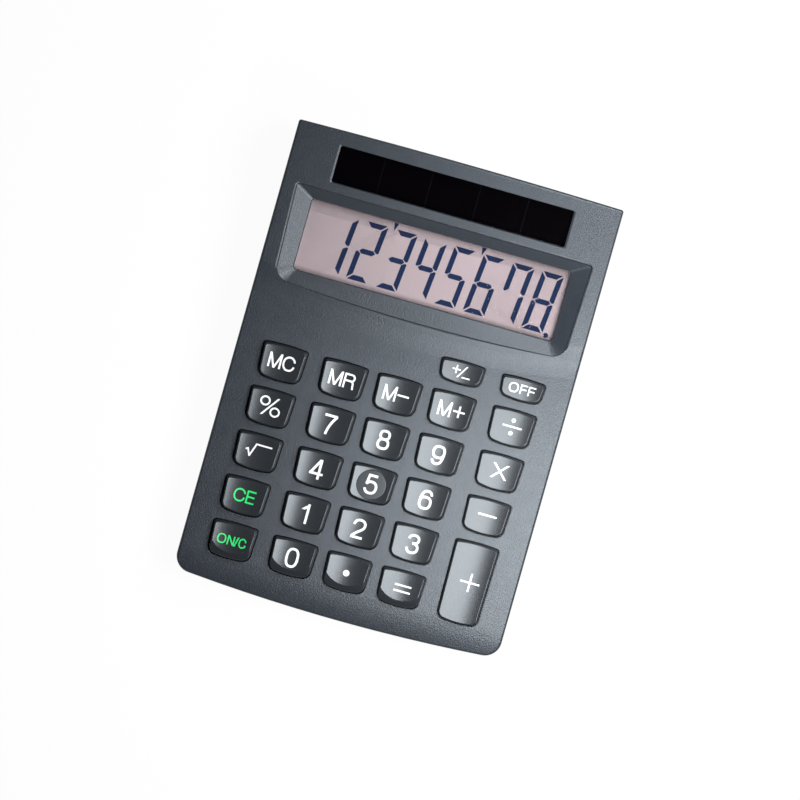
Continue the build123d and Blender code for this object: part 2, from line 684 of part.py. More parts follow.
def key_cap(height, rolled=False, home=False):
    """Hollow key cap with its flange under the deck and the stem that stands on the rubber dome."""
    flange_bottom = DECK_SKIN + FLANGE_THICKNESS
    cap = key_top(height, rolled, home)
    cap += Pos(0, 0, -flange_bottom) * extrude(key_outline(height, -KEY_GAP), flange_bottom)
    cap += Pos(0, 0, -flange_bottom) * extrude(key_outline(height, FLANGE_WIDTH), FLANGE_THICKNESS)
    ceiling = ROLLED_CEILING if rolled else KEY_RISE - KEY_TOP_SKIN
    hollow = key_outline(height, -KEY_GAP - KEY_WALL)
    cap -= Pos(0, 0, -flange_bottom) * extrude(hollow, flange_bottom + ceiling)
    stem = SMALL_STEM_DIAMETER if height < KEY_HOLE[1] else STEM_DIAMETER
    cap += Pos(0, 0, -STEM_DEPTH) * extrude(Circle(stem / 2), STEM_DEPTH + ceiling)
    if height > KEY_HOLE[1]:
        span = KEY_HOLE[0] - 2 * KEY_WALL
        cap += Pos(0, 0, (ceiling - flange_bottom) / 2) * Box(span, RIB_THICKNESS, flange_bottom + ceiling)
    return cap


def key(name):
    x, y, height = KEYS[name]
    return deck_at(x, y) * key_cap(height, rolled=name in ROLLED_KEYS, home=name == "key_5")


# ---- rubber mat and circuit board ----


def flat_on_deck(width, front_y, rear_y, depth, thickness, corner):
    """Round-cornered plate parallel to the deck, its top at the given depth."""
    length = (rear_y - front_y) / cos(radians(DECK_SLOPE))
    face = RectangleRounded(width, length, corner)
    return deck_at(0, (rear_y + front_y) / 2, depth + thickness) * extrude(face, thickness)


def rubber_keypad():
    """Silicone mat with a hollow dome and a conductive pill under each key."""
    sheet = flat_on_deck(MAT_WIDTH, MAT_FRONT_Y, MAT_REAR_Y, MAT_DEPTH, MAT_THICKNESS, BOARD_CORNER)
    rise = MAT_DEPTH - STEM_DEPTH
    base, top = DOME_BASE_DIAMETER / 2, DOME_TOP_DIAMETER / 2
    flare = Align.CENTER, Align.CENTER, Align.MIN
    outer = Cone(base, top, rise, align=flare)
    inner = Cone(base - DOME_SKIN, top - DOME_SKIN, rise, align=flare)
    pill = extrude(Circle(PILL_DIAMETER / 2), BOARD_DEPTH - PAD_THICKNESS - KEY_TRAVEL - STEM_DEPTH - DOME_SKIN)
    for x, y, _ in KEYS.values():
        sheet += deck_at(x, y, MAT_DEPTH) * outer
        sheet -= deck_at(x, y, BOARD_DEPTH) * inner
        sheet += deck_at(x, y, BOARD_DEPTH - PAD_THICKNESS - KEY_TRAVEL) * pill
    for x, y in BOARD_SCREWS:
        hole = extrude(Circle((BOSS_DIAMETER + HOLE_SPARE) / 2), MAT_THICKNESS + OVER)
        sheet -= deck_at(x, y, BOARD_DEPTH) * hole
    for x, y in MID_SCREWS:
        sheet -= upright(x, y, BOSS_DIAMETER + HOLE_SPARE, 0, deck_z(y))
    return sheet


def circuit_board():
    board = flat_on_deck(BOARD_WIDTH, BOARD_FRONT_Y, BOARD_REAR_Y, BOARD_DEPTH, BOARD_THICKNESS, BOARD_CORNER)
    for x, y in BOARD_SCREWS:
        hole = extrude(Circle((SCREW_DIAMETER + HOLE_SPARE) / 2), BOARD_THICKNESS + OVER)
        board -= deck_at(x, y, BOARD_DEPTH + BOARD_THICKNESS) * hole
    for x, y in MID_SCREWS:
        board -= upright(x, y, SCREW_DIAMETER + HOLE_SPARE, 0, deck_z(y))
    return board


def contact_pads():
    """One printed carbon pad under each dome."""
    pad = extrude(Circle(PAD_DIAMETER / 2), PAD_THICKNESS)
    return [deck_at(x, y, BOARD_DEPTH) * pad for x, y, _ in KEYS.values()]


UNDER_BOARD = BOARD_DEPTH + BOARD_THICKNESS


def under_board(x, y, shape, height):
    """Stands a shape of the given height upside down on the board's underside."""
    return deck_at(x, y, UNDER_BOARD + height) * shape


def chip_cover():
    drop = extrude(Circle(CHIP_DIAMETER / 2), CHIP_HEIGHT)
    drop = fillet(drop.faces().sort_by(Axis.Z)[0].edges(), CHIP_ROUNDING)
    return under_board(CHIP_X, CHIP_Y, drop, CHIP_HEIGHT)


def buffer_capacitor():
    can = extrude(Circle(CAPACITOR_DIAMETER / 2), CAPACITOR_HEIGHT)
    can = fillet(can.faces().sort_by(Axis.Z)[0].edges(), CAPACITOR_ROUNDING)
    return under_board(CAPACITOR_X, SMALL_PARTS_Y, can, CAPACITOR_HEIGHT)


def small_component(x, size):
    return under_board(x, SMALL_PARTS_Y, extrude(Rectangle(size[0], size[1]), size[2]), size[2])


# ---- display ----


def on_panel(y, depth, face, thickness):
    """Plate parallel to the display panel, its top at the given depth."""
    return display_at(0, y, depth + thickness) * extrude(face, thickness)


def display_window():
    """Clear cover: a flange behind the case and a raised field that fills the opening."""
    top = SURROUND_DEPTH + THROAT_WALL[1]
    field = on_panel(VIEW_Y, top, view_outline(-WINDOW_GAP), WINDOW_DEPTH - top)
    return field + on_panel(VIEW_Y, WINDOW_DEPTH, view_outline(WINDOW_FLANGE), WINDOW_FLANGE_THICKNESS)


def display_sheet(depth, thickness, ledge=0.0):
    """One layer of the display, which may reach further to the front by a ledge."""
    face = Pos(0, -ledge / 2) * Rectangle(GLASS_WIDTH, GLASS_HEIGHT + ledge)
    return on_panel(VIEW_Y, depth, face, thickness)


def lcd_holder():
    """Tray that presses the display against the case, open to the front for the ribbon."""
    half = GLASS_WIDTH / 2 + HOLDER_GAP
    top = WINDOW_DEPTH
    floor = HOLDER_DEPTH + HOLDER_FLOOR
    front_run = (VIEW_Y - HOLDER_FRONT_Y) / cos(radians(DISPLAY_SLOPE))
    rear_run = GLASS_HEIGHT / 2 + HOLDER_GAP
    outer = Pos(0, (rear_run + HOLDER_WALL - front_run) / 2) * Rectangle(
        2 * (half + HOLDER_WALL), rear_run + HOLDER_WALL + front_run
    )
    inner = Pos(0, (rear_run - front_run) / 2 - OVER) * Rectangle(2 * half, rear_run + front_run + 2 * OVER)
    tray = on_panel(VIEW_Y, top, outer, floor - top) - on_panel(VIEW_Y, top - OVER, inner, HOLDER_DEPTH - top + OVER)
    ear_width = EAR_REACH - half
    for side in (-1, 1):
        for y in EAR_SCREW_Y:
            middle = display_at(side * (half + ear_width / 2 + HOLDER_GAP), y, top + EAR_THICKNESS)
            tray += middle * extrude(Rectangle(ear_width - 2 * HOLDER_GAP, EAR_LENGTH), EAR_THICKNESS)
            hole = extrude(Circle((SCREW_DIAMETER + HOLE_SPARE) / 2), EAR_THICKNESS + OVER)
            tray -= display_at(side * EAR_SCREW_X, y, top + EAR_THICKNESS) * hole
    return tray


def lcd_ribbon():
    """Film from the ledge of the rear glass down to the board, glued at both ends."""
    ledge_front = VIEW_Y - (GLASS_HEIGHT / 2 + GLASS_LEDGE) * cos(radians(DISPLAY_SLOPE))
    ledge_rear = VIEW_Y - GLASS_HEIGHT / 2 * cos(radians(DISPLAY_SLOPE)) - HOLDER_GAP
    glass_drop = REAR_GLASS_DEPTH / cos(radians(DISPLAY_SLOPE))
    board_drop = BOARD_DEPTH / cos(radians(DECK_SLOPE))
    landing_rear = BOARD_REAR_Y - HOLDER_GAP
    landing_front = landing_rear - RIBBON_LANDING
    lower = [
        (ledge_rear, display_z(ledge_rear) - glass_drop),
        (ledge_front, display_z(ledge_front) - glass_drop),
        (landing_rear, deck_z(landing_rear) - board_drop),
        (landing_front, deck_z(landing_front) - board_drop),
    ]
    upper = [(y, z + RIBBON_THICKNESS) for y, z in reversed(lower)]
    return side_prism(lower + upper, RIBBON_WIDTH)


# ---- light cell ----


def solar_window():
    raised = RectangleRounded(SOLAR_WIDTH - 2 * WINDOW_GAP, SOLAR_HEIGHT - 2 * WINDOW_GAP, SOLAR_CORNER)
    flange = Rectangle(SOLAR_WIDTH + 2 * SOLAR_FLANGE, SOLAR_HEIGHT + 2 * SOLAR_FLANGE)
    field = on_panel(SOLAR_Y, SOLAR_DEPTH, raised, DISPLAY_SKIN - SOLAR_DEPTH)
    return field + on_panel(SOLAR_Y, DISPLAY_SKIN, flange, SOLAR_FLANGE_THICKNESS)


SOLAR_CELL_DEPTH = DISPLAY_SKIN + SOLAR_FLANGE_THICKNESS


def solar_cell():
    face = Rectangle(SOLAR_WIDTH + 2 * CELL_OVERLAP, SOLAR_HEIGHT + 2 * CELL_OVERLAP)
    return on_panel(SOLAR_Y, SOLAR_CELL_DEPTH, face, CELL_THICKNESS)


def solar_lead(side):
    """Wire from the back of the light cell, under the display and up to the board's underside."""
    x = side * LEAD_X
    start = display_at(x, SOLAR_Y, SOLAR_CELL_DEPTH + CELL_THICKNESS).position
    down = display_at(x, SOLAR_Y, SOLAR_CELL_DEPTH + CELL_THICKNESS + LEAD_DROP).position
    end = deck_at(x, LEAD_END_Y, UNDER_BOARD).position
    below = deck_at(x, LEAD_END_Y, UNDER_BOARD + LEAD_RISE).position
    route = [start, down, below, end]
    radii = []
    for before, corner, after in zip(route, route[1:], route[2:]):
        turn = (corner - before).get_angle(after - corner)
        shorter = min((corner - before).length, (after - corner).length)
        radii.append(ARC_SHARE * shorter / tan(radians(turn / 2)))
    path = FilletPolyline(*route, radius=radii)
    print("solar lead radii", [round(r, 1) for r in radii], "length", round(path.length, 1))
    wire = sweep(Plane(origin=path @ 0, z_dir=path % 0) * Circle(LEAD_DIAMETER / 2), path=path)
    expected = path.length * (LEAD_DIAMETER / 2) ** 2 * pi
    print("solar lead volume against section times length", round(wire.volume / expected, 4))
    return wire


# ---- battery ----


def button_cell():
    can = extrude(Circle(BUTTON_DIAMETER / 2), BUTTON_HEIGHT - BUTTON_CAP_HEIGHT)
    can = fillet(can.edges(), BUTTON_ROUNDING)
    cap = Pos(0, 0, BUTTON_HEIGHT - BUTTON_CAP_HEIGHT - OVER) * extrude(
        Circle(BUTTON_CAP_DIAMETER / 2), BUTTON_CAP_HEIGHT + OVER
    )
    return Pos(CELL_X, CELL_Y, CELL_BOTTOM_Z) * (can + cap)


def under_board_z(y):
    return deck_z(y) - UNDER_BOARD / cos(radians(DECK_SLOPE))


def contact_strip(x, lower):
    """Sprung metal strip from a side view of its lower face, given as points (y, z)."""
    upper = [(y, z + CONTACT_THICKNESS) for y, z in reversed(lower)]
    return Pos(x, 0, 0) * side_prism(lower + upper, CONTACT_WIDTH)


def board_landing():
    """Lower face of a strip where it presses up against the board."""
    return [(y, under_board_z(y) - CONTACT_THICKNESS) for y in (LANDING_REAR_Y, LANDING_FRONT_Y)]


def battery_contact_negative():
    on_cell = [(CELL_Y + CONTACT_WIDTH, CELL_TOP_Z), (CELL_Y - CONTACT_WIDTH, CELL_TOP_Z)]
    over_wall = [(CELL_Y - BAY_HALF, BAY_TOP_Z + CELL_GAP), (LANDING_REAR_Y + LANDING_RAMP, LANDING_RAMP_Z)]
    return contact_strip(CELL_X, on_cell + over_wall + board_landing())


def battery_contact_positive():
    """Blade beside the cell, folded over the bay's wall into a strip that runs to the board."""
    face_x = CELL_X - BUTTON_DIAMETER / 2 - CELL_GAP
    blade = box_between(
        face_x - CONTACT_THICKNESS,
        face_x,
        CELL_Y - CONTACT_WIDTH,
        CELL_Y + CONTACT_WIDTH,
        CELL_BOTTOM_Z + OVER / 2,
        POSITIVE_STRIP_Z + CONTACT_THICKNESS,
    )
    lower = [(CELL_Y + CONTACT_WIDTH, POSITIVE_STRIP_Z), (CELL_Y - CONTACT_WIDTH, POSITIVE_STRIP_Z)]
    ramp = [(LANDING_REAR_Y + LANDING_RAMP, LANDING_RAMP_Z)]
    return blade + contact_strip(face_x - CONTACT_WIDTH / 2, lower + ramp + board_landing())


def battery_door():
    """Sliding door with a tongue along each side and grip grooves, cut to the lower shell's outer shape."""
    plate = door_slab(DOOR_WIDTH / 2, DOOR_FRONT_Y, 0, DOOR_TOP_Z)
    tongues = door_slab(DOOR_WIDTH / 2 + TONGUE_WIDTH, DOOR_FRONT_Y, DOOR_TOP_Z - TONGUE_THICKNESS, DOOR_TOP_Z)
    door = base_shape() & (plate + tongues)
    for n in range(GRIP_GROOVES):
        y = GRIP_REAR_Y - n * GRIP_PITCH
        groove = box_between(
            CELL_X - GRIP_WIDTH / 2, CELL_X + GRIP_WIDTH / 2, y - GRIP_DEPTH, y + GRIP_DEPTH, 0, FOOT_HEIGHT + GRIP_DEPTH
        )
        door -= groove
    return door


# ---- fasteners and feet ----


def screw(shank_length, head_place):
    """Pan head screw pointing up, its seat at the origin."""
    head = Pos(0, 0, -SCREW_HEAD_HEIGHT) * extrude(Circle(SCREW_HEAD_DIAMETER / 2), SCREW_HEAD_HEIGHT)
    head = fillet(head.faces().sort_by(Axis.Z)[0].edges(), SCREW_HEAD_ROUNDING)
    slot = Pos(0, 0, -SCREW_HEAD_HEIGHT)
    for turn in (0, 90):
        head -= slot * Rot(0, 0, turn) * Box(SCREW_SLOT_LENGTH, SCREW_SLOT_WIDTH, SCREW_SLOT_DEPTH * 2)
    return head_place * (head + extrude(Circle(SCREW_DIAMETER / 2), shank_length))


def case_screws():
    mid = [screw(MID_SHANK_TOP_Z - MID_SEAT_Z, Pos(x, y, MID_SEAT_Z)) for x, y in MID_SCREWS]
    return mid + [screw(REAR_SHANK_TOP_Z - REAR_SEAT_Z, Pos(x, y, REAR_SEAT_Z)) for x, y in REAR_SCREWS]


def board_screws():
    length = UNDER_BOARD - BOARD_SHANK_DEPTH
    return [screw(length, deck_at(x, y, UNDER_BOARD)) for x, y in BOARD_SCREWS]


def holder_screws():
    seat = WINDOW_DEPTH + EAR_THICKNESS
    return [screw(seat - EAR_SHANK_DEPTH, display_at(x, y, seat)) for x, y in EAR_SCREWS]


def rubber_feet():
    foot = extrude(Circle(FOOT_DIAMETER / 2), FOOT_HEIGHT + FOOT_POCKET)
    foot = fillet(foot.faces().sort_by(Axis.Z)[0].edges(), FOOT_EDGE_RADIUS)
    return [Pos(x, y, 0) * foot for x, y in FOOT_PLACES]


def all_parts():
    parts = {
        "upper_case": upper_case(),
        "lower_case": lower_case(),
        "display_window": display_window(),
        "lcd_front_polariser": display_sheet(POLARISER_DEPTH, POLARISER_THICKNESS),
        "lcd_front_glass": display_sheet(FRONT_GLASS_DEPTH, GLASS_THICKNESS),
        "lcd_rear_glass": display_sheet(REAR_GLASS_DEPTH, GLASS_THICKNESS, GLASS_LEDGE),
        "lcd_reflector": display_sheet(REFLECTOR_DEPTH, REFLECTOR_THICKNESS),
        "lcd_holder": lcd_holder(),
        "lcd_ribbon": lcd_ribbon(),
        "solar_window": solar_window(),
        "solar_cell": solar_cell(),
        "solar_lead_positive": solar_lead(1),
        "solar_lead_negative": solar_lead(-1),
        "rubber_keypad": rubber_keypad(),
        "circuit_board": circuit_board(),
        "contact_pads": contact_pads(),
        "chip_cover": chip_cover(),
        "buffer_capacitor": buffer_capacitor(),
        "voltage_diode": small_component(DIODE_X, DIODE_SIZE),
        "clock_resistor": small_component(RESISTOR_X, RESISTOR_SIZE),
        "button_cell": button_cell(),
        "battery_contact_positive": battery_contact_positive(),
        "battery_contact_negative": battery_contact_negative(),
        "battery_door": battery_door(),
        "case_screws": case_screws(),
        "board_screws": board_screws(),
        "holder_screws": holder_screws(),
        "rubber_feet": rubber_feet(),
    }
    for name in KEYS:
        parts[name] = key(name)
    return parts


def write_parts(folder="parts"):
    os.makedirs(folder, exist_ok=True)
    for name, shape in all_parts().items():
        if isinstance(shape, list):
            shape = Compound(children=[s.solid() for s in shape])
        export_step(shape, f"{folder}/{name}.step")


write_parts()
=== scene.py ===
import json
from math import cos, hypot, pi, radians, sin, tan

import bmesh
import bpy
from bpy.props import FloatProperty, FloatVectorProperty, PointerProperty, StringProperty
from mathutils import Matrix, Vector
from mathutils.bvhtree import BVHTree
from mathutils.geometry import delaunay_2d_cdt


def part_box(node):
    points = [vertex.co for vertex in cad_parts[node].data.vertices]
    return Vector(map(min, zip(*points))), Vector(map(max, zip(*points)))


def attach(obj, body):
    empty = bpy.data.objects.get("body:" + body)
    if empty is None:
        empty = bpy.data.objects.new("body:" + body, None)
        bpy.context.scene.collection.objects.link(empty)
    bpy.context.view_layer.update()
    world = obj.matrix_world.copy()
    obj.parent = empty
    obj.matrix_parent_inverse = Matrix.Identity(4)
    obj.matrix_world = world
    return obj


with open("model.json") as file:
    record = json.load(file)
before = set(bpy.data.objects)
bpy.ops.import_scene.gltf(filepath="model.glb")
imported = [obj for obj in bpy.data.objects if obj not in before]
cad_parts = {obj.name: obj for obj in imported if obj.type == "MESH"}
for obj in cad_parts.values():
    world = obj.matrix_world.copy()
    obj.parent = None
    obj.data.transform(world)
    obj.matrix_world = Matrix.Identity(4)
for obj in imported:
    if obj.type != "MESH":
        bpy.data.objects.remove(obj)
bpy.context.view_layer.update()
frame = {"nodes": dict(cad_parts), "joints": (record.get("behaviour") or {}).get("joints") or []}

bl_info = {
    "name": "Pocket Calculator Looks",
    "version": (1, 0, 0),
    "blender": (4, 5, 0),
    "location": "3D View > Sidebar > Calculator",
    "description": "Finishes, key legends, display figures and studio for a pocket calculator",
    "category": "Object",
}

MM = 0.001
CASE_BODY = "case"

# The keys slide along the deck's normal, so a key's joint says how the deck lies.
KEY_JOINTS = [joint for joint in frame["joints"] if joint["name"].startswith("press_")]
DECK_UP = -Vector(KEY_JOINTS[0]["axis"])
ACROSS = Vector((1, 0, 0))
ALONG = Vector((0, 1, 0))
DOWN = Vector((0, 0, -1))
DECK_ALONG = DECK_UP.cross(ACROSS)
KEY_DROP = 12 * MM  # a legend is dropped on its key from this far above the key's middle
DISPLAY_DROP = 10 * MM  # and what the display shows, from this far above its rear glass


# ---- settings ----


class CaseSettings(bpy.types.PropertyGroup):
    """Finish of the two shells and the battery door."""

    colour: FloatVectorProperty(
        name="Case colour", description="Moulded plastic of the shells", subtype="COLOR", size=3,
        default=(0.020, 0.024, 0.031), min=0, max=1,
    )
    grain: FloatProperty(
        name="Grain size", description="Width of one grain of the moulded texture", unit="LENGTH",
        default=0.4 * MM, min=0.01 * MM,
    )
    grain_depth: FloatProperty(
        name="Grain depth", description="Height of the moulded texture", unit="LENGTH",
        default=0.062 * MM, min=0,
    )


class KeySettings(bpy.types.PropertyGroup):
    """Finish and legends of the push keys."""

    colour: FloatVectorProperty(
        name="Key colour", description="Glossy plastic of the key caps", subtype="COLOR", size=3,
        default=(0.017, 0.019, 0.022), min=0, max=1,
    )
    legend_white: FloatVectorProperty(
        name="White legend", description="Figures and signs", subtype="COLOR", size=3,
        default=(0.74, 0.76, 0.78), min=0, max=1,
    )
    legend_green: FloatVectorProperty(
        name="Green legend", description="Letters on the clearing keys", subtype="COLOR", size=3,
        default=(0.010, 0.60, 0.13), min=0, max=1,
    )
    legend_proud: FloatProperty(
        name="Legend height", description="How far a legend stands above the key top", unit="LENGTH",
        default=0.02 * MM, min=0,
    )
    figure_height: FloatProperty(
        name="Figure height", description="Height of the ten figures", unit="LENGTH", default=5.2 * MM,
    )
    figure_stroke: FloatProperty(
        name="Figure stroke", description="Stroke width of the figures", unit="LENGTH", default=0.62 * MM,
    )


class DisplaySettings(bpy.types.PropertyGroup):
    """Liquid crystal display and what it shows."""

    background: FloatVectorProperty(
        name="Background", description="Reflector foil behind the display", subtype="COLOR", size=3,
        default=(0.290, 0.240, 0.254), min=0, max=1,
    )
    ink: FloatVectorProperty(
        name="Segment colour", description="Switched-on segments", subtype="COLOR", size=3,
        default=(0.006, 0.014, 0.045), min=0, max=1,
    )
    figures: StringProperty(name="Figures", description="Eight figures", default="12345678")
    height: FloatProperty(
        name="Figure height", description="Height of a figure", unit="LENGTH", default=15.6 * MM,
    )
    pitch: FloatProperty(
        name="Figure pitch", description="From one figure to the next", unit="LENGTH", default=7.81 * MM,
    )
    lean: FloatProperty(
        name="Lean", description="Slant of the figures", subtype="ANGLE", default=radians(5.4),
    )


class StudioSettings(bpy.types.PropertyGroup):
    """Camera, lamps and floor."""

    turn: FloatProperty(
        name="Turn", description="How far the calculator is turned clockwise in the picture",
        subtype="ANGLE", default=radians(15.8),
    )
    picture_width: FloatProperty(
        name="Picture width", description="Width that the picture takes in at the deck", unit="LENGTH",
        default=205.9 * MM,
    )
    distance: FloatProperty(
        name="Camera distance", description="Height of the camera", unit="LENGTH", default=2.0,
    )
    key_place: FloatVectorProperty(
        name="Key lamp place", description="Middle of the lamp close above the keys", subtype="TRANSLATION",
        default=(0.064, -0.050, 0.165),
    )
    key_size: FloatVectorProperty(
        name="Key lamp size", description="Across and along the case", size=2, default=(0.102, 0.092),
    )
    key_strength: FloatProperty(
        name="Key lamp strength", description="Brightness of its face, 1 is white", default=15.0, min=0,
    )
    rear_place: FloatVectorProperty(
        name="Rear lamp place", description="Middle of the lamp behind to the right", subtype="TRANSLATION",
        default=(0.078, 0.105, 0.165),
    )
    rear_size: FloatVectorProperty(
        name="Rear lamp size", description="Across and along", size=2, default=(0.12, 0.11),
    )
    rear_strength: FloatProperty(
        name="Rear lamp strength", description="Brightness of its face, 1 is white", default=13.0, min=0,
    )


# ---- drawing in strokes ----

# Each sign is drawn in a box of one by one: x from left to right, y from bottom to top, along
# the middles of its strokes. A bar has square ends, a lean has level ends, a loop is closed,
# and a path goes on in curves (two guides and an end) or straight lines (an end).
SIGNS = {
    "0": [("loop", 0.5, 0.5, 0.5, 0.5)],
    "1": [("bar", (1, 0), (1, 1)), ("lean", (0.05, 0.72), (0.9, 0.96))],
    "2": [(
        "path", (0, 0.70), ((0.02, 0.90), (0.22, 1), (0.50, 1)), ((0.80, 1), (1, 0.90), (1, 0.73)),
        ((1, 0.50), (0.62, 0.42), (0.34, 0.25)), ((0.16, 0.14), (0.04, 0.09), (0.02, 0)), ((1, 0),),
    )],
    "3": [
        ("path", (0.02, 0.77), ((0.05, 0.93), (0.24, 1), (0.48, 1)), ((0.78, 1), (0.95, 0.91), (0.95, 0.77)),
         ((0.95, 0.62), (0.78, 0.54), (0.42, 0.54))),
        ("path", (0.42, 0.54), ((0.82, 0.54), (1, 0.44), (1, 0.28)), ((1, 0.10), (0.78, 0), (0.48, 0)),
         ((0.22, 0), (0.02, 0.08), (0, 0.26))),
    ],
    "4": [("bar", (0, 0.24), (1, 0.24)), ("bar", (0.74, 0), (0.74, 1)), ("lean", (0.0, 0.24), (0.72, 1))],
    "5": [(
        "path", (0.92, 1), ((0.17, 1),), ((0.06, 0.49),), ((0.16, 0.60), (0.32, 0.65), (0.50, 0.65)),
        ((0.80, 0.65), (1, 0.54), (1, 0.33)), ((1, 0.12), (0.80, 0), (0.48, 0)),
        ((0.22, 0), (0.03, 0.08), (0, 0.24)),
    )],
    "6": [
        ("loop", 0.5, 0.32, 0.5, 0.32),
        ("path", (0, 0.34), ((0, 0.80), (0.20, 1), (0.54, 1)), ((0.78, 1), (0.93, 0.92), (0.96, 0.77))),
    ],
    "7": [("bar", (0, 1), (0.96, 1)), ("path", (1, 0.98), ((0.62, 0.68), (0.38, 0.30), (0.32, -0.08)))],
    "8": [("loop", 0.5, 0.765, 0.44, 0.235), ("loop", 0.5, 0.265, 0.5, 0.265)],
    "9": [
        ("loop", 0.5, 0.68, 0.5, 0.32),
        ("path", (1, 0.66), ((1, 0.20), (0.80, 0), (0.46, 0)), ((0.22, 0), (0.07, 0.08), (0.04, 0.23))),
    ],
    "C": [(
        "path", (1, 0.67), ((0.95, 0.88), (0.76, 1), (0.52, 1)), ((0.18, 1), (0, 0.78), (0, 0.5)),
        ((0, 0.22), (0.18, 0), (0.52, 0)), ((0.78, 0), (0.97, 0.14), (1, 0.36)),
    )],
    "E": [
        ("bar", (0, 0), (0, 1)), ("bar", (0, 1), (1, 1)),
        ("bar", (0, 0.52), (0.92, 0.52)), ("bar", (0, 0), (1, 0)),
    ],
    "F": [("bar", (0, 0), (0, 1)), ("bar", (0, 1), (1, 1)), ("bar", (0, 0.50), (0.88, 0.50))],
    "M": [
        ("bar", (0, 0), (0, 1)), ("bar", (1, 0), (1, 1)),
        ("lean", (0.5, 0), (0.0, 1)), ("lean", (0.5, 0), (1, 1)),
    ],
    "N": [("bar", (0, 0), (0, 1)), ("bar", (1, 0), (1, 1)), ("lean", (1, 0), (0, 1))],
    "O": [("loop", 0.5, 0.5, 0.5, 0.5)],
    "R": [
        ("bar", (0, 0), (0, 1)),
        ("path", (0, 1), ((0.60, 1),), ((0.86, 1), (0.97, 0.90), (0.97, 0.76)),
         ((0.97, 0.61), (0.86, 0.52), (0.60, 0.52)), ((0, 0.52),)),
        ("path", (0.60, 0.52), ((0.86, 0.50), (0.92, 0.42), (0.93, 0.26)),
         ((0.94, 0.10), (0.95, 0.04), (1, -0.08))),
    ],
    "/": [("lean", (0, 0), (1, 1))],
    "x": [("lean", (0, 0), (1, 1)), ("lean", (1, 0), (0, 1))],
    "+": [("bar", (0, 0.5), (1, 0.5)), ("bar", (0.5, 0), (0.5, 1))],
    "-": [("bar", (0, 0.5), (1, 0.5))],
}
LOOP_SQUARENESS = 2.5  # 2 is an ellipse; the upright loops are a little squarer
CURVE_STEPS = 10
LOOP_STEPS = 40
LONGEST_STEP = 0.5 * MM  # long strokes are divided so that they follow a curved key top
NEARLY_A_STEP = 0.999  # a length over by less than a thousandth of a step gets no step more
SHARP_TURN = radians(35)  # a stroke is parted here, and gets a square corner
MITRE_LIMIT = 0.4  # least cosine in a mitre, which keeps the corners of tight turns short


def curve_points(start, first, second, end):
    """A curve from start, not counted, to end, pulled towards its two guides."""
    points = []
    for step in range(1, CURVE_STEPS + 1):
        t = step / CURVE_STEPS
        s = 1 - t
        points.append(tuple(
            s**3 * a + 3 * s * s * t * b + 3 * s * t * t * c + t**3 * d
            for a, b, c, d in zip(start, first, second, end)
        ))
    return points


def loop_points(x, y, across, along):
    """A closed oval, a little squarer than an ellipse."""
    points = []
    power = 2 / LOOP_SQUARENESS
    for step in range(LOOP_STEPS):
        angle = 2 * pi * step / LOOP_STEPS
        c, s = cos(angle), sin(angle)
        points.append((
            x + across * abs(c) ** power * (1 if c > 0 else -1),
            y + along * abs(s) ** power * (1 if s > 0 else -1),
        ))
    return points


def divided(points):
    """The same line with no step longer than LONGEST_STEP."""
    result = [points[0]]
    for a, b in zip(points, points[1:]):
        count = max(1, int(hypot(b[0] - a[0], b[1] - a[1]) / LONGEST_STEP + NEARLY_A_STEP))
        for step in range(1, count + 1):
            t = step / count
            result.append((a[0] + (b[0] - a[0]) * t, a[1] + (b[1] - a[1]) * t))
    return result


def mitred(points, stroke):
    """Four-sided faces along a line, stroke wide, with mitred turns."""
    directions = [(Vector(b) - Vector(a)).normalized() for a, b in zip(points, points[1:])]
    sides = []
    for i, point in enumerate(points):
        before = directions[max(i - 1, 0)]
        after = directions[min(i, len(directions) - 1)]
        middle = (before + after).normalized()
        across = Vector((-middle.y, middle.x))
        reach = stroke / 2 / max(across.dot(Vector((-after.y, after.x))), MITRE_LIMIT)
        sides.append((Vector(point) + across * reach, Vector(point) - across * reach))
    return [[a[0], b[0], b[1], a[1]] for a, b in zip(sides, sides[1:])]


def turn_at(line, place):
    """The angle by which a line turns at one of its inner points."""
    return (line[place] - line[place - 1]).angle(line[place + 1] - line[place])


def corner_reach(line, place, stroke):
    """How far a run goes on past a sharp turn, to square the corner."""
    half = turn_at(line, place) / 2
    return stroke / 2 * min(tan(half), 1 / tan(half))


def ribbon(points, stroke, closed=False):
    """Four-sided faces along a line, stroke wide, parted at the sharp turns."""
    if closed:
        return mitred(points + points[:2], stroke)[1:]
    line = [Vector(point) for point in points]
    turns = [place for place in range(1, len(line) - 1) if turn_at(line, place) > SHARP_TURN]
    faces = []
    for first, last in zip([0] + turns, turns + [len(line) - 1]):
        run = line[first:last + 1]
        if first in turns:
            run[0] = run[0] - (run[1] - run[0]).normalized() * corner_reach(line, first, stroke)
        if last in turns:
            run[-1] = run[-1] + (run[-1] - run[-2]).normalized() * corner_reach(line, last, stroke)
        faces += mitred(run, stroke)
    return faces


def leaning(a, b, stroke):
    """A slanted stroke whose two ends are cut level, from point a up to point b."""
    a, b = Vector(a), Vector(b)
    half = Vector((stroke / 2 * (b - a).length / abs(b.y - a.y), 0))
    line = [Vector(point) for point in divided([tuple(a), tuple(b)])]
    return [[p - half, p + half, q + half, q - half] for p, q in zip(line, line[1:])]


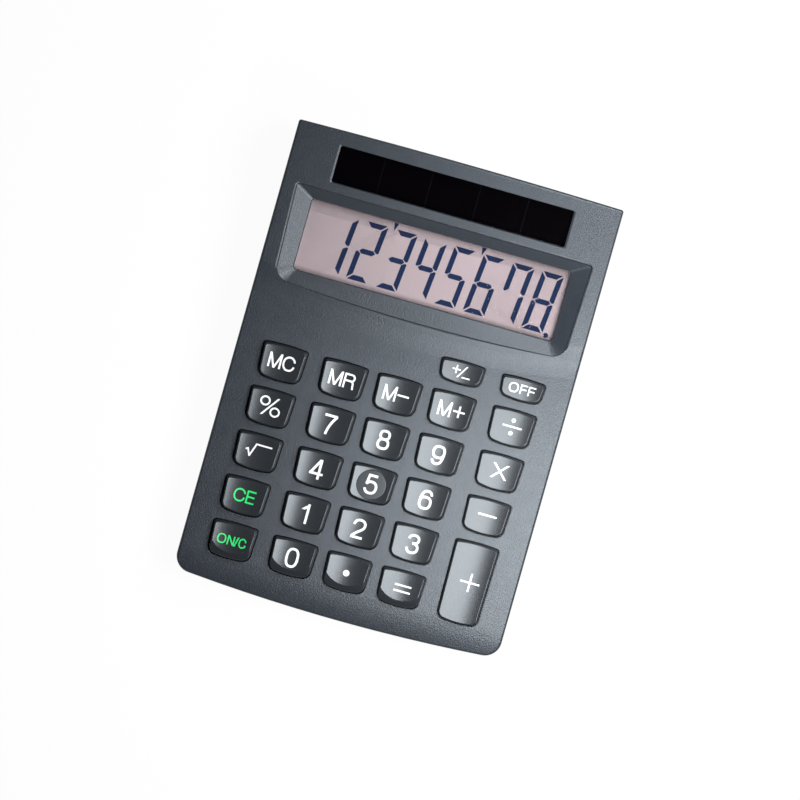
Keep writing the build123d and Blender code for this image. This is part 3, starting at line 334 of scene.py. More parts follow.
def sign_faces(sign, x, y, width, height, stroke):
    """Faces of one sign whose box has its middle at x, y."""
    inner_width, inner_height = width - stroke, height - stroke

    def place(point):
        return (x + (point[0] - 0.5) * inner_width, y + (point[1] - 0.5) * inner_height)

    faces = []
    for kind, *rest in SIGNS[sign]:
        if kind == "loop":
            centre_x, centre_y, across, along = rest
            points = [place(point) for point in loop_points(centre_x, centre_y, across, along)]
            faces += ribbon(points, stroke, closed=True)
        elif kind == "bar":
            a, b = (Vector(place(point)) for point in rest)
            cap = (b - a).normalized() * stroke / 2
            faces += ribbon(divided([tuple(a - cap), tuple(b + cap)]), stroke)
        elif kind == "lean":
            a, b = (Vector(place(point)) for point in rest)
            # at the box's foot and head it ends level with the bars, half a stroke further on
            below = Vector((0, stroke / 2)) if rest[0][1] == 0 else Vector((0, 0))
            above = Vector((0, stroke / 2)) if rest[1][1] == 1 else Vector((0, 0))
            faces += leaning(a - below, b + above, stroke)
        else:
            points = [rest[0]]
            for piece in rest[1:]:
                if len(piece) == 1:
                    points.append(piece[0])
                else:
                    points += curve_points(points[-1], *piece)
            faces += ribbon(divided([place(point) for point in points]), stroke)
    return faces


def oval(x, y, across, along):
    """The corners of an ellipse twice across by twice along, round its middle at x, y."""
    angles = [2 * pi * i / LOOP_STEPS for i in range(LOOP_STEPS)]
    return [(x + across * cos(angle), y + along * sin(angle)) for angle in angles]


def disc_faces(x, y, radius):
    """A dot, as one round face."""
    return [[Vector(corner) for corner in oval(x, y, radius, radius)]]


def ring_faces(x, y, across, along, stroke):
    """A ring whose outer size is twice across by twice along."""
    return ribbon(oval(x, y, across - stroke / 2, along - stroke / 2), stroke, closed=True)


# ---- prints laid on a surface ----

ALL_TRIANGLES = 0  # asks for every triangle, with the faces that each came from
JOINED_WITHIN = 1e-4  # corners this close, in mm, become one


def united(faces):
    """Overlapping flat faces as one sheet of triangles: its points and its triangles."""
    points, loops = [], []
    for face in faces:
        turn = sum(a.x * b.y - b.x * a.y for a, b in zip(face, face[1:] + face[:1]))
        loops.append(list(range(len(points), len(points) + len(face))))
        points += face if turn > 0 else face[::-1]
    # sizes are worked in mm here, because the triangulation loses points that are very close
    scaled = [point / MM for point in points]
    corners, _, triangles, _, _, sources = delaunay_2d_cdt(scaled, [], loops, ALL_TRIANGLES, JOINED_WITHIN)
    return [corner * MM for corner in corners], [t for t, source in zip(triangles, sources) if source]


def surface_of(node):
    """The node's mesh, for finding where a line meets it."""
    mesh = frame["nodes"][node].data
    corners = [vertex.co.copy() for vertex in mesh.vertices]
    return BVHTree.FromPolygons(corners, [tuple(face.vertices) for face in mesh.polygons])


def raised_print(name, faces, origin, along, fall, up, surface, top, bottom):
    """Faces laid on a surface, as a closed solid from bottom to top above it (negative is below).

    A point (x, y) of the faces starts at origin + x across + y along and falls on the surface
    along the direction fall; the thickness is measured along up.
    """
    points, triangles = united(faces)
    landed = []
    for point in points:
        start = origin + ACROSS * point.x + along * point.y
        hit = surface.ray_cast(start, fall)[0]
        if hit is None:
            raise RuntimeError(name + " misses the surface below it")
        landed.append(hit)
    mesh = bpy.data.meshes.new(name)
    form = bmesh.new()
    upper = [form.verts.new(hit + up * top) for hit in landed]
    lower = [form.verts.new(hit + up * bottom) for hit in landed]
    for triangle in triangles:
        form.faces.new([upper[i] for i in triangle])
        form.faces.new([lower[i] for i in reversed(triangle)])
    edges = dict.fromkeys(pair for face in triangles for pair in zip(face, face[1:] + face[:1]))
    for a, b in edges:
        if (b, a) not in edges:  # an edge of one triangle only gets a side wall
            form.faces.new([lower[a], lower[b], upper[b], upper[a]])
    bmesh.ops.delete(form, geom=[v for v in form.verts if not v.link_faces], context="VERTS")
    form.normal_update()
    form.to_mesh(mesh)
    form.free()
    return new_object(name, mesh)


def new_object(name, data):
    """An object with this mesh, lamp or camera, in the scene."""
    obj = bpy.data.objects.new(name, data)
    bpy.context.scene.collection.objects.link(obj)
    return obj


# ---- finishes ----

# A noise has its patches per metre, where no size sets them, then its detail and roughness.
# A ramp says where a mask starts and where it is full.
CLOUD_GRAINS = 9.0  # a slow cloud of sheen is this many grains wide
GRAIN_NOISE = (3.0, 0.6)
CLOUD_NOISE = (4.0, 0.65)
CORNER_RAMP = (0.52, 0.62)  # from a flat face to a sharp corner
WEAR_NOISE = (260.0, 4.0, 0.7)
WEAR_RAMP = (0.35, 0.7)
SPECKS_PER_METRE = 2600.0
SPECK_RAMP = (0.70, 0.76)
UPWARD_RAMP = (0.3, 0.9)  # from a steep face to a level one
SCUFFS_PER_METRE = 900.0
SCUFF_WAYS = ((radians(24), 26.0), (radians(-58), 34.0))  # direction, and length for its width
SCUFF_RAMP = (0.66, 0.74)
COLOUR_INPUTS, COLOUR_OUTPUT = (6, 7), 2  # the colour sockets of a Mix node
COOL_SHEEN = (0.86, 0.94, 1.0, 1)  # the dark plastics shine a little blue
EMBEDDED = 0.02  # specular level of a face that lies against glass, where 0.5 is usual
CLOUD_SHADES = (0.9, 1.1)  # a plastic's shades, as shares of its colour
# painted highlight: the raised tops of the grain are made lighter, by this share of the colour and over this
# span of the grain's height
GRAIN_TOP_HIGHLIGHT = 1.35
RUBBED_SHADE = 2.2
GRAIN_TOP_HIGHLIGHT_RAMP = (0.35, 0.75, 0.0, 0.5)
DUST_COLOUR = (0.5, 0.5, 0.48)
SHEEN_SPREAD = (0.9, 1.12)  # a plastic's least and most roughness, as shares of its own


def node_group(name, inputs, outputs):
    """A shader group with inputs {name: default} and outputs, all numbers, and its two ends."""
    group = bpy.data.node_groups.new(name, "ShaderNodeTree")
    for socket, default in inputs.items():
        made = group.interface.new_socket(socket, in_out="INPUT", socket_type="NodeSocketFloat")
        made.default_value = default
    for socket in outputs:
        group.interface.new_socket(socket, in_out="OUTPUT", socket_type="NodeSocketFloat")
    return group, group.nodes.new("NodeGroupInput"), group.nodes.new("NodeGroupOutput")


def feed(tree, socket, value):
    """Set an input to a number or a colour, or link it to another node's output."""
    if isinstance(value, bpy.types.NodeSocket):
        tree.links.new(value, socket)
    else:
        socket.default_value = value


def maths(tree, operation, first, second=None):
    """A Math node's output; each input is a socket or a number."""
    node = tree.nodes.new("ShaderNodeMath")
    node.operation = operation
    feed(tree, node.inputs[0], first)
    if second is not None:
        feed(tree, node.inputs[1], second)
    return node.outputs[0]


def noise(tree, vector, scale, detail=2.0, roughness=0.5):
    """A soft random pattern from 0 to 1; scale is a socket or a number."""
    node = tree.nodes.new("ShaderNodeTexNoise")
    feed(tree, node.inputs["Vector"], vector)
    feed(tree, node.inputs["Detail"], detail)
    feed(tree, node.inputs["Roughness"], roughness)
    feed(tree, node.inputs["Scale"], scale)
    return node.outputs["Fac"]


def ramp(tree, value, low, high, to_low=0.0, to_high=1.0):
    """The value mapped from low..high to to_low..to_high, smoothly and held at the ends."""
    node = tree.nodes.new("ShaderNodeMapRange")
    node.interpolation_type = "SMOOTHSTEP"
    tree.links.new(value, node.inputs["Value"])
    for socket, number in zip(node.inputs[1:5], (low, high, to_low, to_high)):
        socket.default_value = number
    return node.outputs["Result"]


def own_coordinates(tree):
    """Places in metres that stay with the object."""
    return tree.nodes.new("ShaderNodeTexCoord").outputs["Object"]


def place_across(tree):
    """How far to the right a place lies, in metres."""
    split = tree.nodes.new("ShaderNodeSeparateXYZ")
    tree.links.new(own_coordinates(tree), split.inputs[0])
    return split.outputs["X"]


def moulded_grain():
    """Fine pebbled texture of a moulded surface. Size is a grain's width in metres."""
    group, ends_in, ends_out = node_group("moulded_grain", {"Size": 0.3 * MM}, ("Height", "Cloud"))
    where = own_coordinates(group)
    fine = maths(group, "DIVIDE", 1.0, ends_in.outputs["Size"])
    coarse = maths(group, "DIVIDE", fine, CLOUD_GRAINS)
    group.links.new(noise(group, where, fine, *GRAIN_NOISE), ends_out.inputs["Height"])
    group.links.new(noise(group, where, coarse, *CLOUD_NOISE), ends_out.inputs["Cloud"])
    return group


def edge_wear():
    """Polished and rubbed corners. Amount is from 0 to 1."""
    group, ends_in, ends_out = node_group("edge_wear", {"Amount": 0.5}, ("Mask",))
    pointed = group.nodes.new("ShaderNodeNewGeometry").outputs["Pointiness"]
    corner = ramp(group, pointed, *CORNER_RAMP)
    patch = ramp(group, noise(group, own_coordinates(group), *WEAR_NOISE), *WEAR_RAMP)
    rubbed = maths(group, "MULTIPLY", corner, patch)
    group.links.new(maths(group, "MULTIPLY", rubbed, ends_in.outputs["Amount"]), ends_out.inputs["Mask"])
    return group


def settled_dust():
    """A few pale specks on faces that look up. Amount is from 0 to 1."""
    group, ends_in, ends_out = node_group("settled_dust", {"Amount": 0.5}, ("Mask",))
    specks = ramp(group, noise(group, own_coordinates(group), SPECKS_PER_METRE), *SPECK_RAMP)
    split = group.nodes.new("ShaderNodeSeparateXYZ")
    group.links.new(group.nodes.new("ShaderNodeNewGeometry").outputs["Normal"], split.inputs[0])
    upward = ramp(group, split.outputs["Z"], *UPWARD_RAMP)
    settled = maths(group, "MULTIPLY", specks, upward)
    group.links.new(maths(group, "MULTIPLY", settled, ends_in.outputs["Amount"]), ends_out.inputs["Mask"])
    return group


def hairline_scuffs():
    """Hairline scratches in two directions, for polished faces. Scale is lines per metre."""
    group, ends_in, ends_out = node_group("hairline_scuffs", {"Scale": SCUFFS_PER_METRE}, ("Mask",))
    lines = []
    for angle, stretch in SCUFF_WAYS:
        mapping = group.nodes.new("ShaderNodeMapping")
        mapping.inputs["Rotation"].default_value = (0, 0, angle)
        mapping.inputs["Scale"].default_value = (1, stretch, 1)
        group.links.new(own_coordinates(group), mapping.inputs["Vector"])
        pattern = noise(group, mapping.outputs[0], ends_in.outputs["Scale"], 1.0)
        lines.append(ramp(group, pattern, *SCUFF_RAMP))
    group.links.new(maths(group, "MAXIMUM", *lines), ends_out.inputs["Mask"])
    return group


class Finish:
    """One procedural material round a Principled shader."""

    def __init__(self, name, **constants):
        self.material = bpy.data.materials.new(name)
        self.material.use_nodes = True
        self.tree = self.material.node_tree
        self.shader = self.tree.nodes["Principled BSDF"]
        for socket, value in constants.items():
            self.shader.inputs[socket.replace("_", " ")].default_value = value

    def group(self, effect, **values):
        """A shared effect placed in this material with its own values."""
        node = self.tree.nodes.new("ShaderNodeGroup")
        node.node_tree = shared(effect)
        for socket, value in values.items():
            node.inputs[socket].default_value = value
        return node

    def mask(self, effect, **values):
        return self.group(effect, **values).outputs["Mask"]

    def mix(self, mask, low, high):
        """Colour that goes from low to high with the mask; each is a colour or a socket."""
        node = self.tree.nodes.new("ShaderNodeMix")
        node.data_type = "RGBA"
        self.tree.links.new(mask, node.inputs["Factor"])
        for place, value in zip(COLOUR_INPUTS, (low, high)):
            plain = not isinstance(value, bpy.types.NodeSocket)
            feed(self.tree, node.inputs[place], (*value[:3], 1) if plain else value)
        return node.outputs[COLOUR_OUTPUT]

    def colour(self, socket):
        """The shader's colour from here."""
        self.tree.links.new(socket, self.shader.inputs["Base Color"])

    def roughness(self, mask, low, high):
        """Roughness from low to high with the mask."""
        value = ramp(self.tree, mask, 0.0, 1.0, low, high)
        self.tree.links.new(value, self.shader.inputs["Roughness"])

    def bump(self, height, distance):
        """Relief that is as high as the distance."""
        node = self.tree.nodes.new("ShaderNodeBump")
        node.inputs["Distance"].default_value = distance
        node.inputs["Strength"].default_value = 1.0
        self.tree.links.new(height, node.inputs["Height"])
        self.tree.links.new(node.outputs[0], self.shader.inputs["Normal"])


def lighter(colour, factor):
    """The colour times the factor, held at white."""
    return tuple(min(part * factor, 1) for part in colour)


def dress(node, finish):
    """The CAD node keeps its shape and gets this finish."""
    for slot in frame["nodes"][node].material_slots:
        slot.material = finish.material


def shared(effect):
    """The shader group of an effect, built the first time it is asked for."""
    return bpy.data.node_groups.get(effect.__name__) or effect()


def grain_into(finish, size, depth):
    """Moulded grain on a finish: its bump, and the slow cloud for colour and roughness."""
    node = finish.group(moulded_grain, Size=size)
    finish.bump(node.outputs["Height"], depth)
    return node.outputs["Cloud"], node.outputs["Height"]


def plastic(name, colour, rough, grain, depth, wear=0.3, dust=0.15, **constants):
    """A moulded plastic: grain with a painted highlight on its raised tops, clouds of slightly different
    sheen, rubbed corners and dust.
    """
    finish = Finish(name, **constants)
    cloud, height = grain_into(finish, grain, depth)
    base = finish.mix(cloud, *(lighter(colour, shade) for shade in CLOUD_SHADES))
    # painted highlight: where the grain stands high, its colour is made lighter
    peaks = ramp(finish.tree, height, *GRAIN_TOP_HIGHLIGHT_RAMP)
    grain_tops_lit = finish.mix(peaks, base, lighter(colour, GRAIN_TOP_HIGHLIGHT))
    rubbed = finish.mix(finish.mask(edge_wear, Amount=wear), grain_tops_lit, lighter(colour, RUBBED_SHADE))
    finish.colour(finish.mix(finish.mask(settled_dust, Amount=dust), rubbed, DUST_COLOUR))
    finish.roughness(cloud, *(rough * share for share in SHEEN_SPREAD))
    return finish


def clean_plastic(name, colour, rough, grain, depth, **constants):
    """The same without rubbed corners and dust, for prints and what lies under glass."""
    return plastic(name, colour, rough, grain, depth, wear=0.0, dust=0.0, **constants)


# ---- pieces ----


class CALCULATOR_OT_case(bpy.types.Operator):
    """Finish the two shells and the battery door in dark grained plastic."""

    bl_idname = "calculator.case"
    bl_label = "Case"

    def execute(self, context):
        case = context.scene.calculator_case
        shell = plastic(
            "case_plastic", case.colour, 0.33, case.grain, case.grain_depth, wear=0.25, dust=0.06,
            Specular_Tint=COOL_SHEEN,
        )
        for node in ("upper_case", "lower_case", "battery_door"):
            dress(node, shell)
        rubber = plastic("foot_rubber", (0.012, 0.012, 0.013), 0.75, 0.15 * MM, 0.01 * MM, wear=0.6, dust=0.5)
        dress("rubber_feet", rubber)
        return {"FINISHED"}


# What stands on each key, in mm: the stroke width, and for each sign the middle of its box from
# the key's middle and the box's width and height. Figures, the point and the root aren't here.
KEY_SIGNS = {
    "key_mc": (0.48, [("M", -1.85, 0.2, 3.4, 3.9), ("C", 1.8, 0.2, 3.3, 3.9)]),
    "key_mr": (0.48, [("M", -1.75, 0.2, 3.4, 3.9), ("R", 1.85, 0.2, 3.0, 3.9)]),
    "key_m_minus": (0.45, [("M", -1.8, 0.2, 3.4, 3.9), ("-", 1.75, 0.2, 3.0, 0.5)]),
    "key_m_plus": (0.45, [("M", -1.65, 0.2, 3.4, 3.9), ("+", 2.15, 0.2, 3.0, 3.0)]),
    "key_off": (0.34, [("O", -2.15, 0.1, 2.5, 2.55), ("F", 0.45, 0.1, 1.8, 2.5), ("F", 2.6, 0.1, 1.8, 2.5)]),
    "key_plus_minus": (0.32, [
        ("+", -1.45, 0.6, 2.1, 2.1), ("/", 0.15, 0.2, 2.3, 3.2), ("-", 1.4, -1.15, 2.1, 0.4),
    ]),
    "key_ce": (0.42, [("C", -1.3, 0.1, 3.1, 3.5), ("E", 1.65, 0.1, 2.3, 3.4)]),
    "key_on_c": (0.36, [
        ("O", -2.7, 0.0, 2.35, 2.6), ("N", -0.25, 0.0, 1.9, 2.5),
        ("/", 1.2, 0.0, 1.05, 2.6), ("C", 2.8, 0.0, 2.0, 2.6),
    ]),
    "key_multiply": (0.46, [("x", 0.3, 0.3, 4.2, 3.9)]),
    "key_minus": (0.46, [("-", 0.3, 0.4, 4.9, 0.6)]),
    "key_plus": (0.44, [("+", 0.7, 0.3, 5.0, 4.8)]),
    "key_divide": (0.42, [("-", 0.2, 0.3, 5.0, 0.5)]),
    "key_equals": (0.46, [("-", 0.5, 0.85, 4.4, 0.6), ("-", 0.5, -0.7, 4.4, 0.6)]),
    "key_percent": (0.44, [("/", 0.1, 0.3, 4.0, 4.9)]),
}
FIGURE_WIDTHS = {"1": 2.0, "3": 3.35, "4": 3.55, "8": 3.25}  # mm
FIGURE_WIDTH = 3.45  # mm, for the other figures
POINT_RADIUS = 0.82 * MM
DIVIDE_MIDDLE = (0.2 * MM, 0.3 * MM)
DIVIDE_DOT_RADIUS = 0.55 * MM
DIVIDE_DOT_RISE = 1.67 * MM  # from the bar to each dot
PERCENT_RINGS = ((-1.45 * MM, 1.5 * MM), (1.65 * MM, -0.9 * MM))
PERCENT_RING_REACH = (1.35 * MM, 1.3 * MM)  # across and along, from a ring's middle
ROOT_LINE = [(-3.0, 0.1), (-2.45, 0.4), (-1.7, -1.4), (-0.55, 1.9), (3.6, 1.9)]  # mm
ROOT_STROKE = 0.40 * MM
LEGEND_DEPTH = 0.1 * MM  # how far a legend reaches into its key
GREEN_KEYS = ("key_ce", "key_on_c")


def key_middle(key):
    """A point straight above a key's middle, measured along the deck's normal."""
    low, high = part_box(key)
    return (low + high) / 2 + DECK_UP * KEY_DROP


def legend_faces(key, settings):
    """The flat faces of a key's legend."""
    name = key.removeprefix("key_")
    if len(name) == 1 and name.isdigit():
        width = FIGURE_WIDTHS.get(name, FIGURE_WIDTH) * MM
        return sign_faces(name, 0, 0, width, settings.figure_height, settings.figure_stroke)
    if name == "point":
        return disc_faces(0, 0, POINT_RADIUS)
    if name == "root":
        return ribbon(divided([(x * MM, y * MM) for x, y in ROOT_LINE]), ROOT_STROKE)
    stroke, signs = KEY_SIGNS[key]
    faces = []
    for sign, x, y, width, height in signs:
        height = stroke if sign == "-" else height
        faces += sign_faces(sign, x * MM, y * MM, width * MM, height * MM, stroke * MM)
    if name == "divide":
        x, y = DIVIDE_MIDDLE
        for side in (1, -1):
            faces += disc_faces(x, y + side * DIVIDE_DOT_RISE, DIVIDE_DOT_RADIUS)
    if name == "percent":
        for x, y in PERCENT_RINGS:
            faces += ring_faces(x, y, *PERCENT_RING_REACH, stroke * MM)
    return faces


class CALCULATOR_OT_keys(bpy.types.Operator):
    """Finish the keys in gloss black and lay their legends on them."""

    bl_idname = "calculator.keys"
    bl_label = "Keys and legends"

    def execute(self, context):
        keys = context.scene.calculator_keys
        gloss = plastic(
            "key_plastic", keys.colour, 0.24, 0.12 * MM, 0.0012 * MM, wear=0.15, dust=0.1,
            Specular_Tint=COOL_SHEEN,
        )
        white = clean_plastic("legend_white", keys.legend_white, 0.35, 0.1 * MM, 0.001 * MM)
        green = clean_plastic("legend_green", keys.legend_green, 0.35, 0.1 * MM, 0.001 * MM)
        for key in sorted(node for node in frame["nodes"] if node.startswith("key_")):
            dress(key, gloss)
            legend = raised_print(
                "legend" + key.removeprefix("key"), legend_faces(key, keys), key_middle(key), DECK_ALONG,
                -DECK_UP, DECK_UP, surface_of(key), keys.legend_proud, -LEGEND_DEPTH,
            )
            legend.data.materials.append((green if key in GREEN_KEYS else white).material)
            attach(legend, key)
        return {"FINISHED"}


# Which of the seven strokes each figure shows: top, upper right, lower right, bottom, lower left,
# upper left, middle.
FIGURE_STROKES = {
    "0": "abcdef", "1": "bc", "2": "abged", "3": "abgcd", "4": "fbgc", "5": "afgcd", "6": "afgecd",
    "7": "fabc", "8": "abcdefg", "9": "abcdfg",
}
SEGMENT_STROKE = 1.34 * MM
SEGMENT_SPREAD = 5.75 * MM  # width of a figure
SEGMENT_CUT = 0.28 * MM  # the outer corners of the strokes are cut off by this much
SEGMENT_GAP = 0.1 * MM  # between two strokes
POST_TIP = 0.38 * MM  # from the middle to the outer side of an upright stroke
POST_NECK = 0.7  # how far in its point lies, in half strokes
POST_NECK_RISE = 1.6  # and how far from the middle, in gaps
LAST_FIGURE_X = 33.2 * MM  # top right corner of the last figure
FIGURES_FOOT_Y = 24.5 * MM
POINT_PLACE = (-0.5 * MM, -0.25 * MM)  # the decimal point from the last figure's foot
DISPLAY_POINT_RADIUS = 0.67 * MM
MARK_PLACES = (("thousands_mark", 5), ("millions_mark", 2))  # each after this many figures
MARK_X = 1.15 * MM
MARK_DROP = 0.7 * MM  # below the heads of the figures
MARK_CORNERS = ((0.35 * MM, 0.0), (1.2 * MM, 2.2 * MM), (0.0, 2.2 * MM))
SEGMENT_LOW, SEGMENT_HIGH = 0.03 * MM, 0.06 * MM  # underside and top, above the rear glass
FIELD_LOW, FIELD_HIGH = 0.005 * MM, 0.02 * MM
FIELD_SIDE, FIELD_FRONT, FIELD_BACK = 35.2 * MM, 20.6 * MM, 43.4 * MM
POLISHED, SCUFFED = 0.01, 0.05  # roughness of a clear cover and of its scuffs
SHEER = 0.02  # how little a glued layer hides


def segment_shapes(width, height, stroke):
    """The seven strokes of a figure, as lists of corners, by letter."""
    middle, half, cut, gap = height / 2, stroke / 2, SEGMENT_CUT, SEGMENT_GAP
    top = [
        (cut, height), (width - cut, height),
        (width - cut - stroke, height - stroke), (cut + stroke, height - stroke),
    ]
    bar = [
        (half + gap, middle), (stroke + gap, middle + half), (width - stroke - gap, middle + half),
        (width - half - gap, middle), (width - stroke - gap, middle - half), (stroke + gap, middle - half),
    ]
    post = [
        (width, height - cut), (width - stroke, height - cut - stroke), (width - stroke, middle + half + gap),
        (width - half * POST_NECK, middle + gap * POST_NECK_RISE), (width, middle + POST_TIP),
    ]

    def flipped(corners, across, along):
        return [(width - x if across else x, height - y if along else y) for x, y in corners]

    return {
        "a": top, "d": flipped(top, False, True), "g": bar, "b": post, "c": flipped(post, False, True),
        "e": flipped(post, True, True), "f": flipped(post, True, False),
    }


def display_faces(settings):
    """Every dark shape of the display, by name, as lists of corners over the case."""
    shapes = segment_shapes(SEGMENT_SPREAD, settings.height, SEGMENT_STROKE)
    lean = tan(settings.lean)
    faces = {}
    for place, figure in enumerate(settings.figures):
        right = LAST_FIGURE_X - (len(settings.figures) - 1 - place) * settings.pitch
        left = right - SEGMENT_SPREAD - lean * settings.height
        faces["figure_%d" % (place + 1)] = [
            [Vector((left + x + lean * y, FIGURES_FOOT_Y + y)) for x, y in shapes[letter]]
            for letter in FIGURE_STROKES[figure]
        ]
    x, y = POINT_PLACE
    faces["decimal_point"] = disc_faces(LAST_FIGURE_X + x, FIGURES_FOOT_Y + y, DISPLAY_POINT_RADIUS)
    foot = FIGURES_FOOT_Y + settings.height - MARK_DROP
    for name, place in MARK_PLACES:
        left = LAST_FIGURE_X - (len(settings.figures) - place) * settings.pitch + MARK_X
        faces[name] = [[Vector((left + x, foot + y)) for x, y in MARK_CORNERS]]
    return faces


def clear_plastic(name, ior):
    """Polished clear cover with hairline scuffs and a little dust."""
    finish = Finish(name, IOR=ior, Transmission_Weight=1.0)
    finish.colour(finish.mix(finish.mask(settled_dust, Amount=0.1), (1.0, 1.0, 1.0), (0.8, 0.8, 0.8)))
    finish.roughness(finish.mask(hairline_scuffs), POLISHED, SCUFFED)
    return finish


def inner_glass():
    """A layer glued between others, which only shows as a faint film with a little dust."""
    finish = Finish("display_glass", Alpha=SHEER, Specular_IOR_Level=EMBEDDED)
    finish.colour(finish.mix(finish.mask(settled_dust, Amount=0.1), (0.05, 0.045, 0.045), (0.3, 0.3, 0.3)))
    finish.roughness(finish.mask(hairline_scuffs), 0.3, 0.4)
    return finish


class CALCULATOR_OT_display(bpy.types.Operator):
    """Finish the display's layers and set the figures between its two glasses."""

    bl_idname = "calculator.display"
    bl_label = "Display"

    def execute(self, context):
        display = context.scene.calculator_display
        clear = dict.fromkeys(("lcd_front_polariser", "lcd_front_glass", "lcd_rear_glass"), inner_glass())
        clear["display_window"] = clear_plastic("coated_cover", 1.02)
        clear["solar_window"] = clear_plastic("clear_cover", 1.2)
        for node, finish in clear.items():  # a clear layer neither shades nor tints what is below
            dress(node, finish)
            frame["nodes"][node].visible_shadow = False
            frame["nodes"][node].visible_diffuse = False
        foil = clean_plastic(
            "reflector_foil", display.background, 0.8, 0.08 * MM, 0.001 * MM, Specular_IOR_Level=EMBEDDED,
        )
        dress("lcd_reflector", foil)
        ink = clean_plastic(
            "display_ink", display.ink, 0.6, 0.2 * MM, 0.001 * MM, Specular_IOR_Level=EMBEDDED,
        )
        rear = surface_of("lcd_rear_glass")
        low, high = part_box("lcd_rear_glass")
        slope = rear.ray_cast((low + high) / 2 - DOWN * DISPLAY_DROP, DOWN)[1]  # the way it looks
        above = Vector((0, 0, high.z + DISPLAY_DROP))
        field = [[
            Vector((FIELD_SIDE * side, y))
            for side, y in ((-1, FIELD_FRONT), (1, FIELD_FRONT), (1, FIELD_BACK), (-1, FIELD_BACK))
        ]]
        pieces = [("display_field", field, FIELD_HIGH, FIELD_LOW, foil)]
        for name, faces in display_faces(display).items():
            pieces.append((name, faces, SEGMENT_HIGH, SEGMENT_LOW, ink))
        for name, faces, top, bottom, finish in pieces:
            piece = raised_print(name, faces, above, ALONG, DOWN, slope, rear, top, bottom)
            piece.data.materials.append(finish.material)
            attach(piece, CASE_BODY)
        return {"FINISHED"}


SOLAR_STRIPS = 5
STRIP_LINE_RAMP = (0.485, 0.492)  # a strip's edge line, from its middle, in strips
SILICON_NOISE = (120.0, 3.0)
SILICON_SHADES = ((0.0004, 0.0003, 0.0007), (0.0010, 0.0005, 0.0010))
STRIP_LINE_COLOUR = (0.002, 0.002, 0.003)


class CALCULATOR_OT_solar(bpy.types.Operator):
    """Finish the solar cell: dark silicon in strips on glass."""

    bl_idname = "calculator.solar"
    bl_label = "Solar cell"

    def execute(self, context):
        finish = Finish("solar_silicon", Roughness=0.12, IOR=1.15)
        tree = finish.tree
        low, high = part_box("solar_cell")
        from_left = maths(tree, "SUBTRACT", place_across(tree), low.x)
        across = maths(tree, "FRACT", maths(tree, "DIVIDE", from_left, (high.x - low.x) / SOLAR_STRIPS))
        edge = maths(tree, "ABSOLUTE", maths(tree, "SUBTRACT", across, 0.5))
        line = ramp(tree, edge, *STRIP_LINE_RAMP)
        silicon = finish.mix(noise(tree, own_coordinates(tree), *SILICON_NOISE), *SILICON_SHADES)
        finish.colour(finish.mix(line, silicon, STRIP_LINE_COLOUR))
        dress("solar_cell", finish)
        return {"FINISHED"}


TRACK_PITCH = 1.1 * MM
TRACK_RAMP = (0.44, 0.50)
WEAVES_PER_METRE = 1800.0
METAL_SCUFFS_PER_METRE = 1400.0


